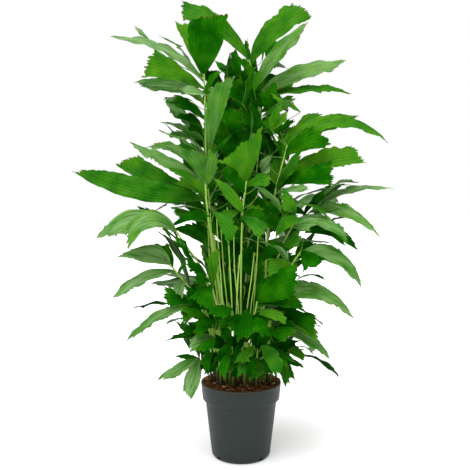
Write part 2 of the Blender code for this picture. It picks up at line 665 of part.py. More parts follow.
def combine(target, parts, operation, solver):
    """Applies one Boolean of the whole group of parts to the target and removes the parts."""
    group = bpy.data.collections.new("group")
    bpy.context.scene.collection.children.link(group)
    for part in parts:
        bpy.context.scene.collection.objects.unlink(part)
        group.objects.link(part)
    change = target.modifiers.new("join", "BOOLEAN")
    change.operation = operation
    change.operand_type = "COLLECTION"
    change.collection = group
    change.solver = solver
    evaluated = target.evaluated_get(bpy.context.evaluated_depsgraph_get())
    mesh = bpy.data.meshes.new_from_object(evaluated)
    old = target.data
    materials = [m for m in old.materials]
    target.modifiers.clear()
    target.data = mesh
    mesh.materials.clear()
    for material in materials:
        mesh.materials.append(material)
    for part in parts:
        bpy.data.meshes.remove(part.data)
    bpy.data.meshes.remove(old)
    bpy.data.collections.remove(group)
    merge_flat(mesh)


def merge_flat(mesh):
    """Joins the flat scraps that a Boolean leaves, so that each flat stays one face, if that keeps it closed."""
    work = bmesh.new()
    work.from_mesh(mesh)
    bmesh.ops.dissolve_limit(work, angle_limit=FLAT_ANGLE, verts=work.verts, edges=work.edges)
    bmesh.ops.triangulate(work, faces=work.faces)
    if all(len(edge.link_faces) == 2 for edge in work.edges):
        work.to_mesh(mesh)
    work.free()


def pot_profile():
    """The outside, from the lip down: straight runs, and a quarter round where the wall meets the foot."""
    steps = 4
    outside = [(RIM_RADIUS - WALL, RIM_HEIGHT), (RIM_RADIUS - 0.0006, RIM_HEIGHT),
               (RIM_RADIUS, RIM_HEIGHT - 0.0012), (BAND_RADIUS + 0.0004, BAND_FOOT + 0.002),
               (BAND_RADIUS - 0.001, BAND_FOOT), (STEP_RADIUS, STEP_FOOT)]
    for k in range(steps + 1):
        turn = math.pi / 2 * k / steps
        outside.append((FOOT_RADIUS - 0.011 * (1 - math.cos(turn)), FOOT_CURVE * (1 - math.sin(turn))))
    return outside


def wall_radius(z):
    """The pot's outer radius at a height, down to the foot's round."""
    heights = (FOOT_CURVE, STEP_FOOT, BAND_FOOT, RIM_HEIGHT)
    return float(np.interp(z, heights, (FOOT_RADIUS, STEP_RADIUS, BAND_RADIUS, RIM_RADIUS)))


def make_pot():
    """The nursery pot: one thin shell with a stepped rim band, a round foot and drain holes through it."""
    outside = pot_profile()
    inside = [(FOOT_RADIUS - 0.012, WALL), (FOOT_RADIUS - WALL - 0.002, WALL + 0.006),
              (FOOT_RADIUS - WALL, FOOT_CURVE + 0.002), (STEP_RADIUS - WALL, STEP_FOOT + 0.001),
              (BAND_RADIUS - WALL - 0.0006, BAND_FOOT + 0.001)]
    turn = np.arange(POT_SIDES) * 2 * math.pi / POT_SIDES
    ring = np.column_stack((np.cos(turn), np.sin(turn)))
    profile = outside + [None] + inside
    rows = []
    points = []
    for entry in profile:
        rows.append(len(points))
        if entry is None:
            points += [(0, 0, 0), (0, 0, WALL)]
        else:
            points += [(*(ring[k] * entry[0]), entry[1]) for k in range(POT_SIDES)]
    faces = []
    for row in range(len(profile)):
        nxt = (row + 1) % len(profile)
        for k in range(POT_SIDES):
            a, b = rows[row] + k, rows[row] + (k + 1) % POT_SIDES
            c, d = rows[nxt] + k, rows[nxt] + (k + 1) % POT_SIDES
            if profile[row] is None:
                faces.append((rows[row] + 1, c, d))
            elif profile[nxt] is None:
                faces.append((rows[nxt], b, a))
            else:
                faces += [(a, c, d), (a, d, b)]
    material = finish("plastic_dark_green_grey", (0.045, 0.060, 0.052), 0.55)
    pot = add_object("pot", np.array(points, float), np.array(faces), material, smooth=True)
    cutters = []
    for k in range(DRAIN_COUNT):
        heading = DRAIN_TURN + (k + 0.5) * 2 * math.pi / DRAIN_COUNT
        block = bmesh.new()
        bmesh.ops.create_cube(block, size=1, matrix=drain_place(heading))
        mesh = bpy.data.meshes.new(f"drain_{k + 1}")
        block.to_mesh(mesh)
        block.free()
        cutter = bpy.data.objects.new(mesh.name, mesh)
        bpy.context.scene.collection.objects.link(cutter)
        cutters.append(cutter)
    combine(pot, cutters, "DIFFERENCE", "EXACT")
    pot.data.shade_smooth()
    pot.data.set_sharp_from_angle(angle=math.radians(40))


def drain_place(heading):
    """The matrix that takes a unit cube to a drain hole at a heading, through the foot's round."""
    size = Matrix.Diagonal((0.016, DRAIN_WIDTH, DRAIN_HEIGHT, 1))
    out = Matrix.Translation((FOOT_RADIUS - 0.002, 0, 0.0022 + DRAIN_HEIGHT / 2))
    return Matrix.Rotation(heading, 4, "Z") @ out @ size


def make_soil(plan):
    """The compost: it fills the pot, is lumpy on top, and has a plain hole round every stalk's foot."""
    lump = np.random.default_rng(11)
    rings = [0.028, 0.060, 0.088, 0.111]
    profile = [(r, soil_height(r, 0)) for r in rings]
    edge = wall_radius(RIM_HEIGHT - 0.003) - WALL - GAP - 0.0012
    profile += [(edge, RIM_HEIGHT - 0.003),
                (BAND_RADIUS - WALL - 0.0006 - GAP - 0.0012, BAND_FOOT + 0.001),
                (STEP_RADIUS - WALL - GAP - 0.0012, STEP_FOOT + 0.001),
                (FOOT_RADIUS - WALL - GAP - 0.001, FOOT_CURVE + 0.002),
                (FOOT_RADIUS - WALL - 0.0035, WALL + 0.007),
                (FOOT_RADIUS - 0.013, WALL + GAP)]
    points, faces = turned(profile, POT_SIDES)
    top = len(rings) * POT_SIDES
    points[:top, 2] += lump.uniform(-SOIL_LUMP, SOIL_LUMP, top) * np.repeat((0.7, 1, 1, 0.7), POT_SIDES)
    soil = add_object("compost", points, faces, finish("compost_coir_bark", (0.07, 0.035, 0.018), 0.95))
    cutters = []
    for name, stalk, _ in plan:
        low = stalk.start - np.array((0, 0, HOLE_DEPTH + GAP))
        high = stalk.start + np.array((0, 0, 0.012))
        grown = STALK_FOOT + GAP / math.cos(math.pi / STALK_SIDES)
        cutters.append(add_object(f"hole_{name}", *tube(np.array((low, high)), (grown, grown), STALK_SIDES)))
    combine(soil, cutters, "DIFFERENCE", "EXACT")


def make_frond(name, stalk, blades, material):
    """One frond: its stalk with all its leaflets joined to it in one body."""
    rings = stalk_rings(stalk, leaf_places(stalk, [blade.place for blade in blades]))
    body = add_object(name, *tube(*rings, STALK_SIDES), material, True)
    leaves = [add_object(f"{name}_leaf_{k}", *blade_solid(blade)) for k, blade in enumerate(blades)]
    combine(body, leaves, "UNION", "MANIFOLD")


def main():
    for old in list(bpy.data.objects):
        bpy.data.objects.remove(old, do_unlink=True)
    plan = set_out()
    clear_stalks(plan)
    grown = clear_blades(plan)
    make_pot()
    make_soil(grown)
    leaf = finish("palm_leaf", (0.03, 0.16, 0.012), 0.42)
    for name, stalk, blades in grown:
        make_frond(name, stalk, blades, leaf)


main()
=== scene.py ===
"""Looks of a potted fishtail palm: fine leaflets and stalks, compost of coir and bark, a moulded nursery pot.

The fronds stand and bend just as their solids in the frame do: the same tables and the same rules set them
out, and each frond's fine piece replaces its node. Lengths are metres, and the tables' are millimetres.
"""

import functools
import math

import bmesh
import bpy
import numpy as np
from mathutils import Matrix, Vector
from mathutils.bvhtree import BVHTree


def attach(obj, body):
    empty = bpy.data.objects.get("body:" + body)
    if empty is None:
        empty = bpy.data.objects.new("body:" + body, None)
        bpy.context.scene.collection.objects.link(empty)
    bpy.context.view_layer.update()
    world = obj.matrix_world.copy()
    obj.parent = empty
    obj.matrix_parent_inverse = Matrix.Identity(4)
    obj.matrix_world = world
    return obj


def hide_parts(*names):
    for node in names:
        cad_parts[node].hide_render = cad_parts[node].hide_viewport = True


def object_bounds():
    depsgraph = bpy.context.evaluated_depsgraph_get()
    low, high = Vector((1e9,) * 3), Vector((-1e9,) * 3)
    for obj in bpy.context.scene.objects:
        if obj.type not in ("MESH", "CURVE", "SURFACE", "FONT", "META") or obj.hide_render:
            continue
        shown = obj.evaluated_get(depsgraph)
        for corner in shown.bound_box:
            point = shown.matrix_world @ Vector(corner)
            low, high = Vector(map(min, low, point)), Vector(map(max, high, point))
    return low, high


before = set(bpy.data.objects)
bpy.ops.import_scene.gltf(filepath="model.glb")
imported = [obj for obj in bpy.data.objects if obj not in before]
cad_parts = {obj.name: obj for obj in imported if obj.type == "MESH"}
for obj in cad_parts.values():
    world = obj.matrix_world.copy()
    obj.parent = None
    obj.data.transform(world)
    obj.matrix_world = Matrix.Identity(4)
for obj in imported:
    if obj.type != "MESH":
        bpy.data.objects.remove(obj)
CAD_BOX = [list(corner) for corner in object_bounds()]

bl_info = {
    "name": "Potted Fishtail Palm",
    "version": (1, 0, 0),
    "blender": (4, 5, 0),
    "location": "3D View > Sidebar > Palm",
    "description": "Grows a clump of fishtail palm fronds in a nursery pot filled with coir and bark compost",
    "category": "Object",
}

MM = 0.001

# The eye that the photo was taken from, and the height on the pot's axis that it looks at.
EYE = np.array((-0.018, -1.85, 0.75))
SIGHT_HEIGHT = 0.661
SIGHT_PITCH = math.atan2(EYE[2] - SIGHT_HEIGHT, -EYE[1])

# The pot. DRAIN_ARCH is how much taller a drain hole is than in the solids, so that it shows as in the photo.
WALL = 0.0022
RIM_RADIUS = 0.120
RIM_HEIGHT = 0.222
BAND_RADIUS = 0.1145
BAND_FOOT = 0.172
STEP_FOOT = 0.1655
STEP_RADIUS = 0.1065
FOOT_RADIUS = 0.0885
FOOT_CURVE = 0.014
DRAIN_COUNT = 4
DRAIN_WIDTH = 0.013
DRAIN_HEIGHT = 0.007
DRAIN_ARCH = 0.003
DRAIN_SILL = 0.0022
DRAIN_CUT = 0.016
DRAIN_TURN = math.radians(-3.0)

SOIL_EDGE = RIM_HEIGHT - 0.002
SOIL_CROWN = 0.010
HOLE_DEPTH = 0.026

STALK_FOOT = 0.0038
STALK_TOP = 0.0019
STALK_START = 0.004

# A leaflet's width at its root, how near two roots may be, and how thick a sheet each leaflet keeps clear:
# one of the solids, and a small one.
ROOT_WIDTH = 0.0034
ROOT_STEP = 0.011
SPARE = 0.0030
SMALL_SPARE = 0.0016

# The turn from one try to the next in radians, which spreads the tries evenly, and how many tries a stalk
# and a leaflet of the solids may have.
TRY_TURN = 2.4
STALK_TRIES = 160
BLADE_TRIES = 140

# The room between two stalks: this much low down, and up to this much more above a height, over a span. And
# how much thicker than itself a stalk is for the leaflets that keep off it: times this, and this much more.
STALK_ROOM = 0.0015
STALK_ROOM_MORE = 0.004
STALK_ROOM_FROM = 0.25
STALK_ROOM_SPAN = 0.15
STALK_KEPT = 1.1
STALK_KEPT_MORE = 0.0012

# Points round a coarse stalk or a twig, and a coarse stalk's rings to each of its points.
COARSE_SIDES = 6
COARSE_RINGS = 4

# Leaflet forms: how far the short edge stays behind, how soon the blade is full width, the teeth in mm, and
# how much narrower it is at its end.
FORMS = {
    "fan": (0.12, 1.15, 11.0, 0.0),
    "wedge": (0.26, 1.8, 10.0, 0.12),
    "strap": (0.20, 3.4, 8.0, 0.42),
    "tailed": (0.40, 2.9, 7.0, 0.62),
    "paddle": (0.12, 2.3, 8.0, 0.16),
    "lance": (0.16, 4.2, 7.0, 0.70),
    "sail": (0.46, 1.25, 10.0, 0.0),
}

# Front and side fronds: name, foot on the compost (across, depth), stalk points (across, up, depth), and
# leaflets. Leaflet: form, place on the stalk counted in stalk points, tip (across, up, depth), width, tilt of
# the face towards the eye in degrees, upward bow as a part of the length, side of the long edge.
DRAWN = (
    ("frond_crown_left", (-25, 10), ((-45, 380, 0), (-68, 560, -5), (-92, 740, -15), (-103, 870, -25),
                                     (-107, 1003, -30), (-108, 1087, -35), (-110, 1138, -40)), (
        ("paddle", 6, -94, 1328, -70, 128, 75, 0.03, 1),
        ("paddle", 6, -174, 1302, 20, 62, 62, 0.05, -1),
        ("strap", 5.8, -396, 1242, -10, 44, 50, 0.13, 1),
        ("fan", 5.1, -296, 1180, -110, 96, 68, 0.04, -1),
        ("strap", 4.9, -320, 1098, -70, 52, -54, 0.09, -1),
        ("strap", 4.5, -200, 1096, 50, 36, -45, 0.08, 1),
        ("wedge", 4.0, -217, 1070, 70, 44, 55, 0.05, -1),
        ("wedge", 5.4, -54, 1164, -60, 34, 50, 0.08, 1),
    )),
    ("frond_crown_right", (15, 15), ((6, 380, 15), (15, 540, 20), (27, 700, 20), (45, 835, 15), (56, 974, 5),
                                     (48, 1093, -5), (24, 1180, -10)), (
        ("paddle", 6, -194, 1335, 40, 78, 68, 0.11, 1),
        ("paddle", 6, 202, 1345, -40, 90, 68, 0.09, 1),
        ("strap", 5.1, 208, 1284, -90, 58, 60, 0.08, -1),
        ("wedge", 6, 8, 1254, 30, 22, 70, 0.02, 1),
        ("wedge", 5.2, -18, 1206, -70, 40, 60, 0.06, -1),
        ("strap", 5.0, 325, 1170, 50, 72, 58, 0.07, -1),
        ("strap", 4.8, 328, 1091, 20, 46, 42, 0.06, 1),
        ("wedge", 4.5, 175, 1122, 90, 48, 55, 0.06, -1),
        ("wedge", 4.4, 169, 1063, -80, 44, -50, 0.05, 1),
        ("tailed", 4.0, 130, 1060, -20, 30, 50, 0.05, 1),
    )),
    ("frond_right_arch", (60, -20), ((64, 380, -30), (72, 520, -45), (80, 677, -60), (108, 815, -75),
                                     (137, 926, -85)), (
        ("tailed", 4, 446, 942, -70, 78, 52, 0.215, 1),
        ("strap", 4, 356, 1000, -10, 60, 52, 0.12, -1),
        ("wedge", 3.7, 270, 968, -130, 82, 64, 0.07, 1),
        ("lance", 4, -28, 1072, -60, 10, 60, 0.11, -1),
        ("paddle", 3.05, 372, 905, -110, 78, 64, 0.07, 1),
        ("fan", 3, 292, 846, -170, 88, 70, 0.05, 1),
        ("wedge", 3.1, 193, 908, -150, 44, 60, 0.05, -1),
        ("wedge", 2.9, 214, 806, -190, 40, 60, 0.03, 1),
        ("wedge", 3.4, 166, 1010, -60, 36, 50, 0.04, 1),
    )),
    ("frond_right_reach", (80, 18), ((84, 380, 10), (120, 528, -5), (155, 653, -20), (197, 720, -35),
                                     (222, 742, -45)), (
        ("tailed", 4, 467, 799, -60, 42, 38, 0.12, 1),
        ("wedge", 3.6, 286, 800, 30, 50, 55, 0.08, -1),
        ("tailed", 4, 429, 655, -130, 62, 54, 0.17, 1),
        ("wedge", 3.0, 110, 740, 40, 42, 50, 0.05, -1),
    )),
    ("frond_right_low_arch", (40, -45), ((48, 380, -60), (86, 530, -85), (131, 646, -105),
                                         (163, 704, -120)), (
        ("strap", 3, 332, 640, -160, 54, 50, 0.15, 1),
        ("wedge", 2.6, 241, 690, -190, 52, 64, 0.06, -1),
        ("strap", 2.4, 356, 620, -90, 58, 52, 0.16, 1),
        ("wedge", 3, 150, 770, -150, 48, 62, 0.04, -1),
    )),
    ("frond_right_dark", (62, -52), ((66, 340, -75), (112, 480, -110), (150, 570, -130), (178, 612, -140)), (
        ("fan", 3, 226, 560, -210, 78, 66, 0.06, 1),
        ("tailed", 3, 371, 500, -130, 74, 60, 0.22, 1),
        ("wedge", 2.5, 250, 590, -70, 44, 50, 0.08, -1),
        ("wedge", 2.0, 60, 560, -190, 58, 66, 0.05, -1),
    )),
    ("frond_right_broad", (22, -68), ((26, 320, -95), (38, 410, -125), (48, 462, -140)), (
        ("paddle", 2, 178, 538, -205, 94, 68, 0.05, -1),
        ("wedge", 2, 208, 452, -180, 50, 55, 0.08, 1),
        ("tailed", 2, 356, 404, -130, 76, 58, 0.25, 1),
        ("wedge", 1.5, 150, 410, -200, 46, 60, 0.05, 1),
        ("wedge", 1.9, 70, 545, -165, 42, 62, 0.04, -1),
    )),
    ("frond_right_skirt", (78, -24), ((80, 300, -50), (84, 370, -80), (88, 420, -95)), (
        ("fan", 2, 236, 388, -150, 64, 62, 0.08, 1),
        ("wedge", 2, 241, 350, -190, 48, 52, 0.10, 1),
        ("tailed", 1.6, 281, 296, -130, 66, 56, 0.09, 1),
        ("wedge", 2, 190, 470, -70, 48, 50, 0.06, -1),
    )),
    ("frond_right_foot", (92, -8), ((93, 270, -20), (96, 318, -40)), (
        ("wedge", 1, 211, 286, -100, 40, 50, 0.14, 1),
        ("wedge", 1, 150, 350, -110, 46, 60, 0.06, -1),
        ("strap", 0.8, 139, 208, -140, 44, 62, 0.16, 1),
        ("tailed", 0.9, 170, 224, -60, 42, 45, 0.18, 1),
        ("tailed", 0.8, 198, 262, 30, 40, 45, 0.14, 1),
    )),
    ("frond_left_reach", (-45, -15), ((-60, 380, -30), (-80, 558, -50), (-98, 710, -65), (-105, 770, -70),
                                      (-106, 808, -75)), (
        ("strap", 4, -343, 930, -40, 46, 56, 0.04, 1),
        ("strap", 3, -494, 873, -150, 84, 66, -0.06, -1),
        ("paddle", 3.2, -358, 898, -60, 70, 64, -0.03, -1),
        ("wedge", 4, -40, 860, -20, 44, 55, 0.05, 1),
    )),
    ("frond_tall_strap", (-28, -40), ((-40, 380, -55), (-72, 558, -85), (-98, 720, -115), (-105, 820, -130),
                                      (-94, 912, -142)), (
        ("wedge", 4, -46, 1156, -185, 70, 80, 0.03, 1),
        ("wedge", 3, -146, 926, -195, 80, -66, 0.03, 1),
        ("wedge", 3.1, -70, 918, -210, 44, -66, 0.03, 1),
        ("strap", 2.9, -286, 936, -90, 46, -48, 0.20, 1),
        ("strap", 2.6, -226, 868, -140, 30, 50, 0.08, -1),
    )),
    ("frond_left_shade", (-10, 40), ((-33, 380, 50), (-50, 600, 65), (-84, 840, 75), (-116, 962, 80)), (
        ("wedge", 3, -240, 1058, 90, 42, 66, 0.05, 1),
        ("tailed", 3, -244, 1002, 40, 34, 60, 0.06, -1),
        ("wedge", 2.9, -226, 956, 80, 36, 62, 0.08, 1),
        ("fan", 3, -60, 1090, 40, 64, 62, 0.04, 1),
        ("wedge", 2.6, -40, 930, 20, 48, 60, 0.04, 1),
    )),
    ("frond_left_droop", (-55, -38), ((-66, 340, -50), (-86, 460, -65), (-116, 558, -85),
                                      (-168, 636, -110), (-212, 698, -125)), (
        ("strap", 4, -421, 634, -150, 76, 62, 0.19, 1),
        ("wedge", 4, -80, 730, -150, 42, 52, 0.05, 1),
        ("wedge", 3.8, -78, 640, -60, 60, 60, 0.06, 1),
        ("strap", 3.9, -358, 620, -190, 68, 62, 0.36, -1),
    )),
    ("frond_left_tail", (-75, -14), ((-78, 340, -30), (-108, 440, -50), (-160, 512, -75), (-211, 573, -90)), (
        ("tailed", 3, -374, 610, -140, 80, 62, 0.12, -1),
        ("wedge", 3, -262, 645, -60, 62, 58, 0.05, -1),
        ("strap", 3, -384, 458, -160, 46, 50, 0.13, 1),
        ("wedge", 3, -158, 585, -140, 36, 55, 0.04, 1),
        ("wedge", 2.2, -196, 474, -140, 44, 60, 0.08, -1),
    )),
    ("frond_left_inner", (-42, -62), ((-48, 320, -80), (-68, 430, -105), (-86, 504, -125),
                                      (-102, 540, -135)), (
        ("wedge", 3, -176, 577, -180, 48, 60, 0.05, 1),
        ("wedge", 2.4, -152, 532, -200, 42, 58, 0.05, -1),
        ("fan", 2.2, -125, 440, -220, 80, 66, 0.08, -1),
        ("wedge", 3, -98, 634, -190, 42, 62, 0.04, 1),
    )),
    ("frond_left_broad", (-68, -48), ((-72, 280, -60), (-90, 364, -80), (-113, 433, -95),
                                      (-131, 463, -105)), (
        ("fan", 3, -241, 476, -130, 68, 66, 0.04, 1),
        ("strap", 3, -338, 334, -140, 40, 48, 0.13, 1),
        ("wedge", 2.2, -190, 400, -170, 46, 58, 0.08, -1),
        ("wedge", 3, -120, 540, -60, 44, 58, 0.04, 1),
    )),
    ("frond_left_skirt", (-60, -70), ((-62, 262, -82), (-70, 334, -98), (-84, 400, -110)), (
        ("wedge", 2, -194, 436, -150, 46, 56, 0.06, 1),
        ("wedge", 1.8, -188, 374, -130, 42, 54, 0.08, -1),
        ("tailed", 1.3, -232, 338, -70, 34, 44, 0.10, 1),
        ("strap", 1.2, -170, 316, -180, 50, 58, 0.12, -1),
        ("wedge", 2, -40, 450, -180, 46, 62, 0.05, 1),
    )),
    ("frond_left_foot", (-88, -28), ((-92, 262, -40), (-106, 276, -55), (-132, 292, -72)), (
        ("strap", 2, -246, 220, -130, 42, 52, 0.03, 1),
        ("strap", 2, -166, 169, -170, 54, 60, 0.02, -1),
        ("tailed", 2, -198, 292, -60, 36, 44, 0.10, 1),
        ("wedge", 1.2, -96, 240, -160, 46, 62, 0.14, -1),
    )),
    ("frond_middle_fan", (2, -42), ((0, 380, -70), (0, 560, -105), (4, 720, -140), (16, 820, -160)), (
        ("sail", 3, -8, 966, -215, 140, 76, 0.03, 1),
        ("wedge", 3, 102, 832, -230, 54, 64, 0.05, 1),
        ("wedge", 2.6, -66, 870, -220, 50, 62, 0.05, -1),
        ("wedge", 2.0, 78, 720, -200, 46, 62, 0.05, 1),
    )),
    ("frond_middle_low", (-10, -64), ((-14, 340, -90), (-12, 480, -125), (-4, 600, -150)), (
        ("wedge", 2.8, 93, 655, -220, 54, 60, 0.08, 1),
        ("wedge", 2.9, -84, 690, -200, 48, 62, 0.05, -1),
        ("wedge", 2.8, 20, 715, -180, 48, 68, 0.03, 1),
        ("wedge", 0.3, -84, 428, -205, 50, 60, 0.08, -1),
    )),
)

# Suckers of the front: foot, stalk tip (across, up, depth) and the tips of their leaflets. All feet have the
# same height, and all leaflets the same width, tilt and bow.
SUCKERS = (
    ((-24, -84), (-27, 336, -112), ((-66, 415, -160), (-104, 352, -170), (-40, 236, -176), (8, 395, -150))),
    ((8, -90), (12, 362, -122), ((-6, 440, -165), (62, 425, -165), (12, 232, -182), (-52, 372, -190))),
    ((42, -82), (50, 322, -112), ((104, 396, -150), (120, 320, -165), (48, 222, -176), (20, 392, -180))),
    ((22, -20), (14, 430, -30), ((-50, 500, 10), (40, 520, -10), (70, 455, -50), (-30, 440, -40))),
    ((84, -46), (104, 345, -90), ((172, 420, -120), (176, 330, -150), (128, 262, -160), (60, 400, -150))),
)
SUCKER_FOOT = 235
SUCKER_WIDTH = 50.0
SUCKER_TILT = 64
SUCKER_BOW = 0.07

# Fronds of the back, set out by rule: how many, the turn from one foot to the next in degrees, the spacing
# of the feet, the first and the last place of their spiral that is tried, how near two may be, how far out
# and how far forward one may stand in mm, where their stalks start, the lowest and the highest node, how far
# out a node lies, and how much of that goes sideways. The stalks pass these shares of the way out and up, and
# the leaflets' lengths and widths lie between these.
BACK_COUNT = 12
GOLDEN = 137.508
FEET_SPACING = 8.2
FEET_FIRST = 3
FEET_LAST = 139
FEET_APART = 16.5
FEET_OUT = 94
FEET_FRONT = 4
BACK_START = 0.24
BACK_LOW = 0.36
BACK_HIGH = 1.10
BACK_OUT = 0.12
BACK_ACROSS = 0.62
BACK_SHARES = ((0.12, 0.3), (0.45, 0.65), (1.0, 1.0))
BACK_LENGTHS = (0.18, 0.28)
BACK_WIDTHS = (48, 70)

# Their leaflets: form, place on the stalk, heading and slope in degrees, and how wide for its length.
BACK_LEAFLETS = (
    ("tailed", 1.65, -62, -4, 0.7),
    ("wedge", 1.79, 48, 8, 1.0),
    ("strap", 1.95, -20, 28, 1.0),
    ("fan", 2.0, 12, 62, 1.0),
)

